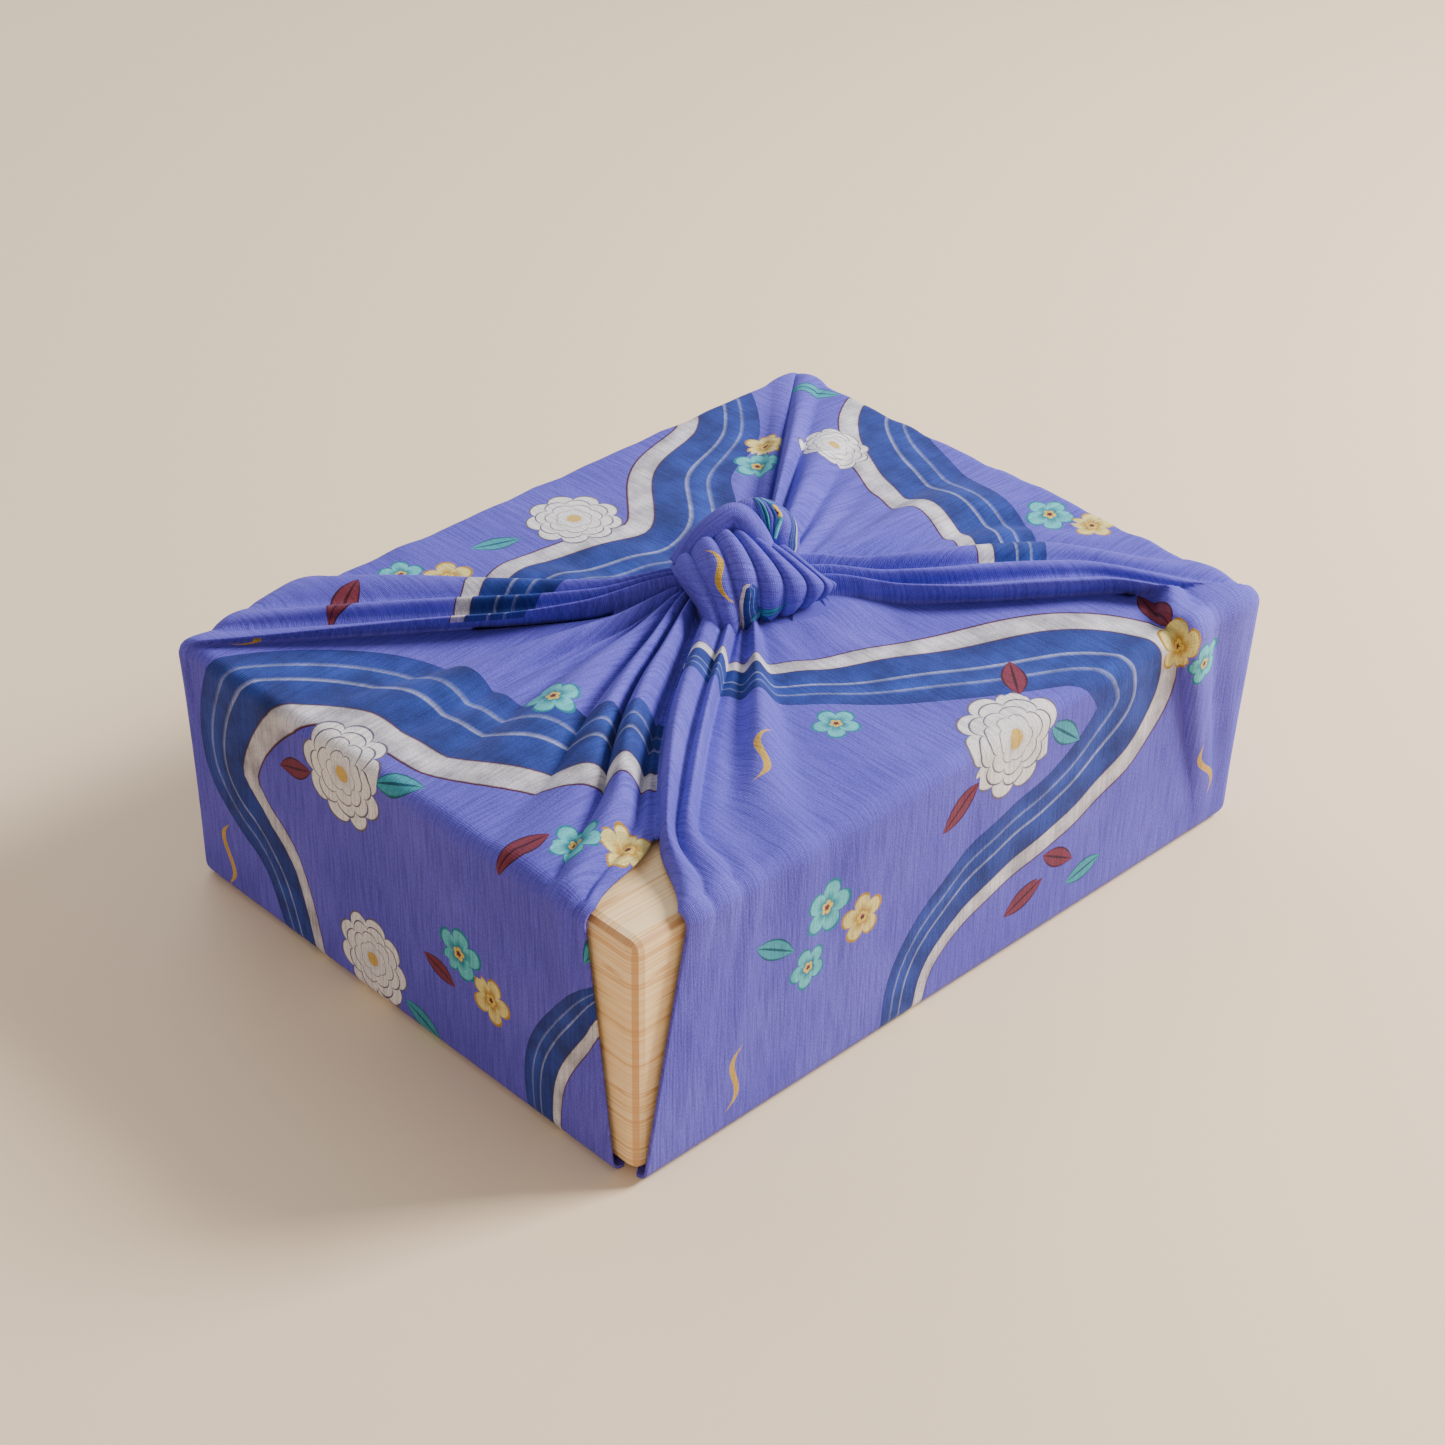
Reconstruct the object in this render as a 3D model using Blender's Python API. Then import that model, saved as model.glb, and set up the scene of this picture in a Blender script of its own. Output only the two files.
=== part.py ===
"""Furoshiki wrap: one square of cloth tied over a flat wooden box.

The cloth goes under the box, up its four sides and over its top to a knot in
the middle. Its slack is gathered in four bundles of folds that run from the
knot to the box's four top corners, and in a fan of pleats towards the near
corner, where the cloth parts and the wood shows. Metres, Z up, the origin at
the middle of the underside.
"""
import math

import bmesh
import bpy
import numpy as np

# Driving sizes, in metres, over the cloth.
WRAP_LENGTH = 0.280
WRAP_WIDTH = 0.216
WRAP_HEIGHT = 0.091
CLOTH_THICKNESS = 0.0018
FACE_GAP = 0.0012
SEAT_GAP = 0.0003
BOX_EDGE_RADIUS = 0.004
CLOTH_EDGE_RADIUS = 0.003

# The knot: a fan of pleats over its front, with two rolled cords behind its top.
# The ring is where the folds start, the lift its middle over the lid, the tilt
# how far it leans back, and the sink how deep it goes into the cloth below.
KNOT_CENTRE = (0.0070, -0.0066)
KNOT_AXIS_DEG = -45.0
KNOT_RING_LONG = 0.024
KNOT_RING_SHORT = 0.013
KNOT_RISE = 0.0045
KNOT_RISE_REACH = 0.22
KNOT_LIFT = 0.0130
KNOT_TILT_DEG = 35.0
KNOT_SINK = 0.0005

# Where the wood begins to show, as a share of the way from knot to rim.
WINDOW_START = 0.71

# How far from the knot a fold's sideways bow reaches, on the same scale.
BOW_REACH = 0.71

# The folds, counter-clockwise from the window. Each row is the strip of cloth
# between one valley and the next, and gives the valley that it starts from.
# aim, foot, hem: place of the valley over the top, on the rim and at the base,
#   0 at the near corner, 1 at the right, 2 at the far and 3 at the left one
# ring: where the valley leaves the knot, in degrees around it
# bow: how far the valley strays sideways half way over the top, in mm
# cleft, notch: how deep the valley is over the top and on the rim, as a share
#   of the lower crest beside it
# knot, mid, rim, side: height of the crest in mm at the knot, half way over
#   the top, at the rim and at the head of the side, whence it dies to nothing
# lean: how far the crest tips over the next valley (or back, if negative)
# soft: 1 for a sharp-valleyed pleat, 2 for a soft wave
# columns: number of mesh columns across the strip
FOLD_COLUMNS = (
    "aim", "foot", "hem", "ring", "bow", "cleft", "notch",
    "knot", "mid", "rim", "side", "lean", "soft", "columns")
FOLDS = (
    (0.014, 0.068, 0.016, 180, -5.0, 1.0, 1.0, 8.0, 11.0, 3.0, 1.5, 0.0, 0.8, 5),
    (0.030, 0.100, 0.045, 203, -2.0, 0.35, 0.6, 7.0, 9.0, 2.4, 1.0, 0.1, 0.8, 5),
    (0.066, 0.140, 0.100, 212, -2.0, 1.0, 1.0, 1.0, 0.5, 0.5, 0.5, 0.0, 2, 3),
    (0.125, 0.180, 0.150, 218, 0.0, 1.0, 1.0, 4.0, 6.0, 1.6, 0.8, 0.0, 2, 3),
    (0.280, 0.280, 0.280, 228, 0.0, 1.0, 1.0, 0.5, 0.8, 0.8, 0.6, 0.0, 2, 3),
    (0.500, 0.500, 0.500, 244, 0.0, 1.0, 1.0, 0.5, 0.8, 0.6, 0.6, 0.0, 2, 3),
    (0.700, 0.700, 0.720, 280, 0.0, 1.0, 1.0, 0.5, 0.8, 0.6, 0.6, 0.0, 2, 3),
    (0.990, 0.858, 0.930, 340, -1.0, 1.0, 1.0, 11.0, 9.0, 4.0, 3.0, -0.3, 0.8, 5),
    (1.060, 0.925, 0.972, 354, 1.0, 0.5, 0.4, 11.0, 9.5, 4.0, 2.4, -0.3, 0.8, 5),
    (1.140, 1.010, 1.004, 8, 3.0, 0.6, 0.5, 11.0, 9.0, 3.0, 1.2, -0.2, 0.8, 5),
    (1.250, 1.120, 1.075, 18, 3.0, 0.8, 0.8, 5.0, 2.5, 0.8, 0.5, 0.0, 2, 3),
    (1.390, 1.270, 1.230, 26, 0.0, 1.0, 1.0, 8.0, 7.0, 1.6, 0.4, 0.0, 1.3, 4),
    (1.590, 1.550, 1.540, 31, 0.0, 1.0, 1.0, 1.0, 1.0, 0.3, 0.2, 0.0, 2, 3),
    (1.690, 1.690, 1.690, 34, 0.0, 1.0, 1.0, 3.0, 1.5, 0.3, 0.2, 0.0, 2, 3),
    (1.800, 1.800, 1.820, 37, 0.0, 0.9, 1.0, 8.0, 7.0, 0.8, 0.4, 0.0, 1, 4),
    (1.925, 1.930, 1.940, 42, 0.0, 0.7, 0.5, 8.0, 8.0, 2.5, 0.8, 0.0, 0.8, 4),
    (1.985, 1.990, 1.990, 47, 0.0, 0.8, 0.5, 5.0, 3.0, 1.0, 0.4, 0.0, 1, 4),
    (2.050, 2.055, 2.050, 56, 0.0, 1.0, 1.0, 2.0, 1.2, 0.3, 0.2, 0.0, 2, 3),
    (2.180, 2.180, 2.180, 68, 0.0, 1.0, 1.0, 1.5, 1.6, 0.3, 0.2, 0.0, 2, 3),
    (2.400, 2.400, 2.400, 80, 0.0, 1.0, 1.0, 1.0, 1.2, 0.3, 0.2, 0.0, 2, 3),
    (2.620, 2.620, 2.640, 92, 0.0, 1.0, 1.0, 2.0, 1.6, 0.6, 0.3, 0.0, 2, 3),
    (2.780, 2.785, 2.860, 104, 0.0, 0.9, 0.8, 10.0, 10.0, 7.5, 1.0, 0.2, 0.8, 5),
    (2.900, 2.905, 2.930, 114, 0.0, 0.4, 0.15, 10.0, 10.5, 5.5, 1.2, 0.3, 0.8, 5),
    (2.957, 2.957, 2.975, 126, 0.0, 0.5, 0.2, 10.0, 10.0, 3.0, 1.2, 0.3, 0.8, 5),
    (3.014, 3.012, 3.008, 139, 0.0, 1.0, 1.0, 3.0, 1.0, 0.4, 0.4, 0.0, 2, 3),
    (3.250, 3.250, 3.250, 143, -2.0, 1.0, 1.0, 8.0, 6.0, 0.6, 0.4, 0.1, 0.9, 4),
    (3.400, 3.400, 3.400, 147, -3.0, 0.8, 1.0, 5.0, 2.0, 0.6, 0.4, 0.0, 2, 3),
    (3.510, 3.510, 3.510, 150, -5.0, 1.0, 1.0, 8.0, 7.0, 1.0, 0.6, 0.1, 0.9, 4),
    (3.705, 3.700, 3.700, 156, -5.0, 0.8, 0.8, 9.0, 9.0, 2.0, 0.6, 0.2, 0.8, 5),
    (3.840, 3.825, 3.835, 163, -6.0, 0.9, 0.8, 9.0, 11.0, 4.0, 1.4, 0.0, 0.8, 5),
    (3.935, 3.890, 3.920, 172, -3.0, 1.0, 1.0, 1.0, 1.0, 1.5, 1.0, 0.0, 2, 2),
    (3.986, 3.910, 3.945, 177, -5.0, 1.0, 1.0, 0.0, 0.0, 0.0, 0.0, 0.0, 2, 1),
)

# The end of cloth that wraps the front of the knot. Its crests run round the
# knot, from left to right between its two ends, in mm.
# top, front, below: how far along the knot a crest lies there
# top_radius, front_radius, below_radius: how far it stands from the middle
# depth: how deep the valley beside it is
WRAP_COLUMNS = (
    "top", "front", "below", "top_radius", "front_radius", "below_radius",
    "depth")
WRAP_CRESTS = (
    (-28.5, -27.0, -17.0, 3.0, 5.0, 16.0, 0.0),
    (-26.5, -23.0, -12.5, 7.0, 11.0, 24.5, 2.0),
    (-20.0, -13.0, -6.5, 13.5, 17.0, 22.5, 3.2),
    (-13.0, -3.5, -1.5, 17.0, 18.5, 18.5, 3.0),
    (-9.0, 5.0, 5.5, 17.3, 17.5, 14.5, 3.0),
    (-5.5, 13.0, 12.5, 16.5, 14.5, 11.5, 2.8),
    (0.0, 20.0, 18.5, 14.5, 10.5, 8.0, 2.4),
    (8.0, 24.0, 23.0, 12.0, 6.0, 5.0, 1.2),
    (16.0, 26.0, 25.0, 3.0, 3.0, 3.0, 0.0),
)

# Angles round the knot of below, front, top and back, in degrees from the front.
WRAP_ANGLES = (-52.0, 0.0, 80.0, 180.0)

# How finely the wrap's outline is worked out round the knot, how wide it is
# smoothed, and each how many of those steps becomes a side of the solid.
WRAP_STEPS = 160
WRAP_SMOOTHING = 31
WRAP_STRIDE = 8
WRAP_RINGS_PER_CREST = 4

# The back of the wrap stands in from the mean of its top and its lower front.
BACK_NARROWING = 0.8

# The end of cloth that crosses behind, as two rolled cords: right, rise, front
# and radius of the points each runs through, in mm.
CORDS = {
    "sash": ((-26, 4, 1, 3.4), (-21, 10, 2, 4.2), (-14.5, 16, 3, 4.4),
             (-8.5, 20, 3.5, 4), (-3.5, 18.5, 4, 3.6), (0.5, 13.5, 5, 3.6),
             (2.5, 8, 5, 3.6)),
    "roll": ((-12, 8, -9, 5), (-9, 15, -6, 5.6), (-4, 20.5, -3, 6),
             (1.5, 20.5, -2, 6.2), (6, 17.5, -2, 6.2), (7.5, 12, -3, 6),
             (8, 4, -6, 5)),
}
CORD_RINGS_PER_POINT = 2
CORD_SIDES = 10

# Stations along each fold, from the ring at the knot to the underside.
TOP_STATIONS = (0.0, 0.08, 0.18, 0.30, 0.42, 0.54, 0.63, 0.71, 0.80, 0.90, 1.0)
RIM_STATIONS = (45.0, 90.0)
SIDE_STATIONS = (0.25, 0.50, 0.75, 1.0)
HEIGHT_STATIONS = (0.0, 0.5, 0.98, 1.22, 2.0)


def smooth(x):
    """A step from 0 to 1 that starts and ends level."""
    x = np.clip(x, 0.0, 1.0)
    return x * x * (3.0 - 2.0 * x)


def footprint(place):
    """Core point, outward normal and tangent of the rounded plan outline.

    place runs 0 to 4 counter-clockwise from the near corner. Each unit holds
    half a corner arc, one straight side and half of the next arc.
    """
    radius = CLOTH_EDGE_RADIUS
    half_x = WRAP_LENGTH / 2 - CLOTH_THICKNESS - radius
    half_y = WRAP_WIDTH / 2 - CLOTH_THICKNESS - radius
    place = np.mod(place, 4.0)
    side = np.minimum(np.floor(place).astype(int), 3)
    arc = radius * math.pi / 4
    straight = np.where(side % 2 == 0, 2 * half_x, 2 * half_y)
    travel = (place - side) * (straight + 2 * arc)
    turn_in = np.clip(travel / arc, 0.0, 1.0) - 1.0
    turn_out = np.clip((travel - arc - straight) / arc, 0.0, 1.0)
    angle = np.radians(-90.0 + 90.0 * side + 45.0 * (turn_in + turn_out))
    along = np.clip(travel - arc, 0.0, straight)
    corners = np.array([(-half_x, -half_y), (half_x, -half_y),
                        (half_x, half_y), (-half_x, half_y)])
    heading = np.array([(1, 0), (0, 1), (-1, 0), (0, -1)])
    core = corners[side] + heading[side] * along[..., None]
    normal = np.stack([np.cos(angle), np.sin(angle)], -1)
    tangent = np.stack([-np.sin(angle), np.cos(angle)], -1)
    return core, normal, tangent


def knot_ring(degrees):
    """Points of the ellipse under the knot that the folds start from."""
    axis = math.radians(KNOT_AXIS_DEG)
    t = np.radians(degrees) - axis
    u = KNOT_RING_LONG * np.cos(t)
    v = KNOT_RING_SHORT * np.sin(t)
    x = KNOT_CENTRE[0] + u * math.cos(axis) - v * math.sin(axis)
    y = KNOT_CENTRE[1] + u * math.sin(axis) + v * math.cos(axis)
    return np.stack([x, y], -1)


def fold_lines():
    """The table spread over the mesh columns, and the columns of the window.

    Each record holds the five lines in proportion between two valleys, the
    four heights and the lean. A height is the valley floor plus
    sin(pi t)^soft of what the crest stands above it.
    """
    rows = np.array(FOLDS, float)
    names = {name: i for i, name in enumerate(FOLD_COLUMNS)}
    after = np.roll(rows, -1, axis=0)
    after[-1, :3] += 4.0
    ring = names["ring"]
    after[:, ring] += 360.0 * (after[:, ring] < rows[:, ring])
    crest = rows[:, names["knot"]:names["side"] + 1] / 1000
    cleft, notch = names["cleft"], names["notch"]
    share = 1.0 - rows[:, [cleft, cleft, notch, notch]]
    floor = share * np.minimum(crest, np.roll(crest, 1, axis=0))
    floor_after = np.roll(floor, -1, axis=0)
    lean = rows[:, names["lean"]]
    before = np.roll(lean, 1)
    valley_lean = np.where(np.abs(before) > np.abs(lean), before, lean)
    counts = rows[:, names["columns"]].astype(int)
    strip = np.repeat(np.arange(len(rows)), counts)
    t = np.concatenate([np.arange(count) / count for count in counts])[:, None]
    lines = rows[strip, :5] * (1 - t) + after[strip, :5] * t
    bump = np.sin(math.pi * t) ** rows[strip, names["soft"]][:, None]
    sill = floor[strip] * (1 - t) + floor_after[strip] * t
    heights = sill + (crest[strip] - sill) * bump
    tip = np.where(t[:, 0] > 0, lean[strip], valley_lean[strip])
    columns = np.column_stack([lines, heights, tip])
    return columns, len(columns) - counts[-1]


def height_along(values, station):
    """Crest height at each station, by a cubic through the four heights."""
    knots = np.array(HEIGHT_STATIONS)
    v = np.concatenate([values, np.zeros_like(values[:, :1])], axis=1)
    slope = np.gradient(v, knots, axis=1)
    slope[:, -1] = 0
    i = np.clip(np.searchsorted(knots, station, side="right") - 1, 0, 3)
    width = knots[i + 1] - knots[i]
    t = (min(station, 2.0) - knots[i]) / width
    height = ((2 * t**3 - 3 * t**2 + 1) * v[:, i]
              + (t**3 - 2 * t**2 + t) * width * slope[:, i]
              + (3 * t**2 - 2 * t**3) * v[:, i + 1]
              + (t**3 - t**2) * width * slope[:, i + 1])
    return np.maximum(height, 0.0)


def cloth_rows(columns, inner):
    """Points of one face of the cloth, one row for each station."""
    aim, foot, hem, ring, bow = columns[:, :5].T
    lean = columns[:, 9]
    radius = CLOTH_EDGE_RADIUS
    top = WRAP_HEIGHT - CLOTH_THICKNESS
    floor = CLOTH_THICKNESS
    up = np.array([0.0, 0.0, 1.0])
    start = knot_ring(ring)
    rows = []

    def place(flat, z, normal, sideways, station):
        crest = height_along(columns[:, 5:9], station)
        if inner:
            rise = np.maximum(0.8 * crest - 0.0004, 0.0)
        else:
            rise = crest + CLOTH_THICKNESS
        calm = smooth(station / 0.40) * (1.0 - 0.8 * smooth((station - 0.95) / 0.25))
        calm *= 1.0 - smooth((station - 1.4) / 0.5)
        shift = lean * rise * calm
        z = z + KNOT_RISE * (1.0 - smooth(station / KNOT_RISE_REACH))
        base = np.column_stack([flat, np.full(len(flat), z)])
        side = np.column_stack([sideways, np.zeros(len(flat))])
        rows.append(base + normal * rise[:, None] + side * shift[:, None])

    for s in TOP_STATIONS:
        bend = smooth((s - WINDOW_START + 0.02) / (1.02 - WINDOW_START))
        core, normal, tangent = footprint(aim + (foot - aim) * bend)
        run = core - start
        across = np.column_stack([-run[:, 1], run[:, 0]])
        across /= np.linalg.norm(across, axis=1)[:, None]
        stray = bow / 1000 * math.sin(math.pi * min(s / BOW_REACH, 1.0))
        place(start + run * s + across * stray[:, None], top,
              np.tile(up, (len(run), 1)), across, s)
    core, normal, tangent = footprint(foot)
    flat_normal = np.column_stack([normal, np.zeros(len(normal))])
    for degrees in RIM_STATIONS:
        a = math.radians(degrees)
        direction = flat_normal * math.sin(a) + up * math.cos(a)
        sideways = across + (tangent - across) * (degrees / 90.0)
        place(core + normal * radius * math.sin(a),
              top - radius + radius * math.cos(a), direction, sideways,
              1.0 + 0.2 * degrees / 90.0)
    for d in SIDE_STATIONS:
        core, normal, tangent = footprint(foot + (hem - foot) * d)
        flat_normal = np.column_stack([normal, np.zeros(len(normal))])
        z = top - radius + (floor + radius - (top - radius)) * d
        place(core + normal * radius, z, flat_normal, tangent, 1.2 + 0.7 * d)
    core, normal, tangent = footprint(hem)
    flat_normal = np.column_stack([normal, np.zeros(len(normal))])
    for degrees in RIM_STATIONS:
        a = math.radians(degrees)
        direction = flat_normal * math.cos(a) - up * math.sin(a)
        place(core + normal * radius * math.cos(a),
              floor + radius - radius * math.sin(a), direction, tangent, 2.0)
    return np.array(rows)


def make_cloth():
    """The closed skin: an outer and an inner face, joined round the window."""
    columns, window = fold_lines()
    faces = []
    points = []
    count = len(columns)
    shape = None
    for inner in (False, True):
        rows = cloth_rows(columns, inner)
        shape = rows.shape
        points.extend(rows.reshape(-1, 3).tolist())
        crown = rows[0].mean(axis=0)
        sole = rows[-1].mean(axis=0)
        crown[2] = rows[0][:, 2].max()
        sole[2] = rows[-1][0, 2]
        points.extend([crown.tolist(), sole.tolist()])
    layer = shape[0] * count + 2
    first = TOP_STATIONS.index(WINDOW_START)
    last = shape[0] - 2

    def index(inner, row, column):
        return inner * layer + row * count + column % count

    for inner in (0, 1):
        turn = -1 if inner else 1
        for row in range(shape[0] - 1):
            for column in range(count):
                if column == window and first <= row < last:
                    continue
                near = index(inner, row, column)
                far = index(inner, row + 1, column + 1)
                faces.append([near, index(inner, row + 1, column), far][::turn])
                faces.append([near, far, index(inner, row, column + 1)][::turn])
        crown = inner * layer + shape[0] * count
        for column in range(count):
            faces.append([crown, index(inner, 0, column),
                          index(inner, 0, column + 1)][::turn])
            faces.append([crown + 1, index(inner, shape[0] - 1, column + 1),
                          index(inner, shape[0] - 1, column)][::turn])
    rim = [(row, window) for row in range(first, last + 1)]
    rim += [(row, window + 1) for row in range(last, first - 1, -1)]
    for here, there in zip(rim, rim[1:] + rim[:1]):
        faces.append([index(0, *here), index(0, *there),
                      index(1, *there), index(1, *here)])
    return make_mesh("cloth", points, faces)


def make_mesh(name, points, faces):
    mesh = bpy.data.meshes.new(name)
    mesh.from_pydata(points, [], faces)
    mesh.update()
    part = bpy.data.objects.new(name, mesh)
    bpy.context.scene.collection.objects.link(part)
    return part


def curve_through(points, samples):
    """A smooth line through the points: Catmull-Rom, the same samples a span."""
    points = np.asarray(points, float)
    padded = np.vstack([2 * points[0] - points[1], points,
                        2 * points[-1] - points[-2]])
    t = np.linspace(0, 1, samples, endpoint=False)[:, None]
    spans = []
    for i in range(len(points) - 1):
        a, b, c, d = padded[i:i + 4]
        spans.append(0.5 * (2 * b + (c - a) * t
                            + (2 * a - 5 * b + 4 * c - d) * t**2
                            + (3 * b - a - 3 * c + d) * t**3))
    return np.vstack(spans + [points[-1:]])


def knot_space(right, rise, front):
    """World points from distances along the leaning knot, up it and out of its front."""
    axis = math.radians(KNOT_AXIS_DEG)
    tilt = math.radians(KNOT_TILT_DEG)
    along = np.array([math.cos(axis), math.sin(axis), -0.02])
    along /= np.linalg.norm(along)
    across = np.array([-math.sin(axis), math.cos(axis), 0.0])
    upward = np.cross(along, across)
    lifted = upward * math.cos(tilt) + across * math.sin(tilt)
    forward = upward * math.sin(tilt) - across * math.cos(tilt)
    middle = np.array([*KNOT_CENTRE, WRAP_HEIGHT + KNOT_LIFT])
    return (middle + right[..., None] * along + rise[..., None] * lifted
            + front[..., None] * forward)


def closed_tube(name, points):
    """A solid from rings of points, with a fan of triangles at each end."""
    steps, sides = points.shape[:2]
    ends = [points[0].mean(axis=0).tolist(), points[-1].mean(axis=0).tolist()]
    faces = []
    for i in range(steps - 1):
        for j in range(sides):
            k = (j + 1) % sides
            faces.append([i * sides + j, i * sides + k,
                          (i + 1) * sides + k, (i + 1) * sides + j])
    for j in range(sides):
        k = (j + 1) % sides
        faces.append([steps * sides, k, j])
        faces.append([steps * sides + 1, (steps - 1) * sides + j,
                      (steps - 1) * sides + k])
    return make_mesh(name, points.reshape(-1, 3).tolist() + ends, faces)


def make_wrap():
    """The fan of pleats over the front of the knot.

    Crests stand at whole steps along it with sharp valleys between them: the
    radius less depth (1 - |cos(pi step)|^0.5).
    """
    crests = np.array(WRAP_CRESTS)
    turn = np.linspace(180, -180, WRAP_STEPS, endpoint=False)
    window = np.hanning(WRAP_SMOOTHING)
    window /= window.sum()
    margin = WRAP_SMOOTHING // 2
    bands = []
    for column, narrowing in (("top", 1.0), ("top_radius", BACK_NARROWING)):
        first = WRAP_COLUMNS.index(column)
        top, front, below = crests[:, first:first + 3].T
        back = (top + below) / 2 * narrowing
        keys = np.stack([below, front, top, back], 1)
        curve = np.array([np.interp(turn, WRAP_ANGLES, row, period=360)
                          for row in keys])
        curve = np.concatenate([curve[:, -margin:], curve, curve[:, :margin]], axis=1)
        curve = np.array([np.convolve(row, window, "valid") for row in curve])
        bands.append(curve_through(curve[:, ::WRAP_STRIDE], WRAP_RINGS_PER_CREST))
    place, radius = bands
    step = np.linspace(0, len(crests) - 1, len(place))
    depths = crests[:, [WRAP_COLUMNS.index("depth")]]
    depth = curve_through(depths, WRAP_RINGS_PER_CREST)[:, 0]
    dip = depth * (1 - np.abs(np.cos(math.pi * step)) ** 0.5)
    angle = np.radians(turn[::WRAP_STRIDE])
    radius = (radius - dip[:, None]) / 1000
    points = knot_space(place / 1000, radius * np.sin(angle), radius * np.cos(angle))
    points[..., 2] = np.maximum(points[..., 2], WRAP_HEIGHT - KNOT_SINK)
    return closed_tube("wrap", points)


def make_cord(name, route):
    """A roll of cloth through the points of its route."""
    line = curve_through(route, CORD_RINGS_PER_POINT) / 1000
    centres = knot_space(*line[:, :3].T)
    heading = np.gradient(centres, axis=0)
    heading /= np.linalg.norm(heading, axis=1)[:, None]
    left = np.cross([0.0, 0.0, 1.0], heading)
    left /= np.linalg.norm(left, axis=1)[:, None]
    lift = np.cross(heading, left)
    turn = np.linspace(0, 2 * math.pi, CORD_SIDES, endpoint=False)[:, None]
    ring = left[:, None] * np.cos(turn) + lift[:, None] * np.sin(turn)
    points = centres[:, None] + ring * line[:, 3][:, None, None]
    points[..., 2] = np.maximum(points[..., 2], WRAP_HEIGHT - KNOT_SINK)
    return closed_tube(name, points)


def make_knot():
    """The solids of the knot: the wrap over its front and the cords behind it."""
    return [make_wrap()] + [make_cord(name, route) for name, route in CORDS.items()]


def unite(body, tools):
    """Fuse the tools into the body and drop any sealed scrap inside it."""
    for tool in tools:
        join = body.modifiers.new("join", "BOOLEAN")
        join.operation = "UNION"
        join.solver = "EXACT"
        join.object = tool
    graph = bpy.context.evaluated_depsgraph_get()
    mesh = bpy.data.meshes.new_from_object(body.evaluated_get(graph))
    body.modifiers.clear()
    body.data = mesh
    for tool in tools:
        bpy.data.objects.remove(tool, do_unlink=True)
    keep_largest(mesh)


def keep_largest(mesh):
    bm = bmesh.new()
    bm.from_mesh(mesh)
    bmesh.ops.remove_doubles(bm, verts=bm.verts[:], dist=1e-6)
    seen = set()
    shells = []
    for face in bm.faces:
        if face.index in seen:
            continue
        shell = []
        stack = [face]
        seen.add(face.index)
        while stack:
            current = stack.pop()
            shell.append(current)
            for edge in current.edges:
                for other in edge.link_faces:
                    if other.index not in seen:
                        seen.add(other.index)
                        stack.append(other)
        shells.append(shell)
    shells.sort(key=len, reverse=True)
    for shell in shells[1:]:
        bmesh.ops.delete(bm, geom=shell, context="FACES")
    bm.to_mesh(mesh)
    bm.free()


def make_box():
    """The wooden box: a plain block with eased edges, clear of the cloth."""
    clear = CLOTH_THICKNESS + FACE_GAP
    seat = CLOTH_THICKNESS + SEAT_GAP
    height = WRAP_HEIGHT - clear - seat
    size = (WRAP_LENGTH - 2 * clear, WRAP_WIDTH - 2 * clear, height)
    middle = seat + height / 2
    bpy.ops.mesh.primitive_cube_add(size=1.0, location=(0, 0, middle))
    box = bpy.context.object
    box.name = "box"
    box.scale = size
    bpy.ops.object.transform_apply(location=False, rotation=False, scale=True)
    ease = box.modifiers.new("eased edges", "BEVEL")
    ease.width = BOX_EDGE_RADIUS
    ease.segments = 3
    ease.limit_method = "ANGLE"
    return box


def colour(name, rgb, roughness):
    material = bpy.data.materials.new(name)
    material.use_nodes = True
    shader = material.node_tree.nodes["Principled BSDF"]
    shader.inputs["Base Color"].default_value = (*rgb, 1.0)
    shader.inputs["Roughness"].default_value = roughness
    shader.inputs["Metallic"].default_value = 0.0
    return material


def main():
    for old in list(bpy.data.objects):
        bpy.data.objects.remove(old, do_unlink=True)
    cloth = make_cloth()
    unite(cloth, make_knot())
    cloth.data.materials.clear()
    cloth.data.materials.append(colour("purple crepe", (0.19, 0.17, 0.50), 0.85))
    box = make_box()
    box.data.materials.append(colour("pale wood", (0.66, 0.49, 0.31), 0.55))


main()
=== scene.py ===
"""Furoshiki wrap: a printed crepe cloth knotted over a pale wooden box."""
import math

import bpy
import numpy as np
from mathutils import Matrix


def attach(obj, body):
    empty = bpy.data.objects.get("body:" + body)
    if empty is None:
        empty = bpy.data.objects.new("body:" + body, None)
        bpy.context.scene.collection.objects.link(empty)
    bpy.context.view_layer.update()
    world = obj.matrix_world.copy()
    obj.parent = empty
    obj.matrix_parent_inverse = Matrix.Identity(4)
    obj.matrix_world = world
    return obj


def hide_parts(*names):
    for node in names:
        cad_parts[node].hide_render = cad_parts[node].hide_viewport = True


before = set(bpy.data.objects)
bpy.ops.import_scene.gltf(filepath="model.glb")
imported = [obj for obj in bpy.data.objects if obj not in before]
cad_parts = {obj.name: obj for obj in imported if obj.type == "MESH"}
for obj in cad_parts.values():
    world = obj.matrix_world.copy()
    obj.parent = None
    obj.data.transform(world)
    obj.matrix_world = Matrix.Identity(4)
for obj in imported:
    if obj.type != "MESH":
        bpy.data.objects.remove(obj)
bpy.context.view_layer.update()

# Viewpoint.
# A longish lens looks down on the near corner of the box, which stands
# a little left of the middle, with the knot above it.
EYE = (-0.57937, -0.59089, 0.60889)
LOOK_DEGREES = (55.894, -0.665, -43.926)
LENS_MM = 74.69

eye = bpy.data.cameras.new("viewpoint")
eye.lens = LENS_MM
eye.sensor_width = 36.0
eye.clip_start = 0.01
viewpoint = bpy.data.objects.new("viewpoint", eye)
viewpoint.location = EYE
viewpoint.rotation_euler = [math.radians(angle) for angle in LOOK_DEGREES]
bpy.context.scene.collection.objects.link(viewpoint)
bpy.context.scene.camera = viewpoint

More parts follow.
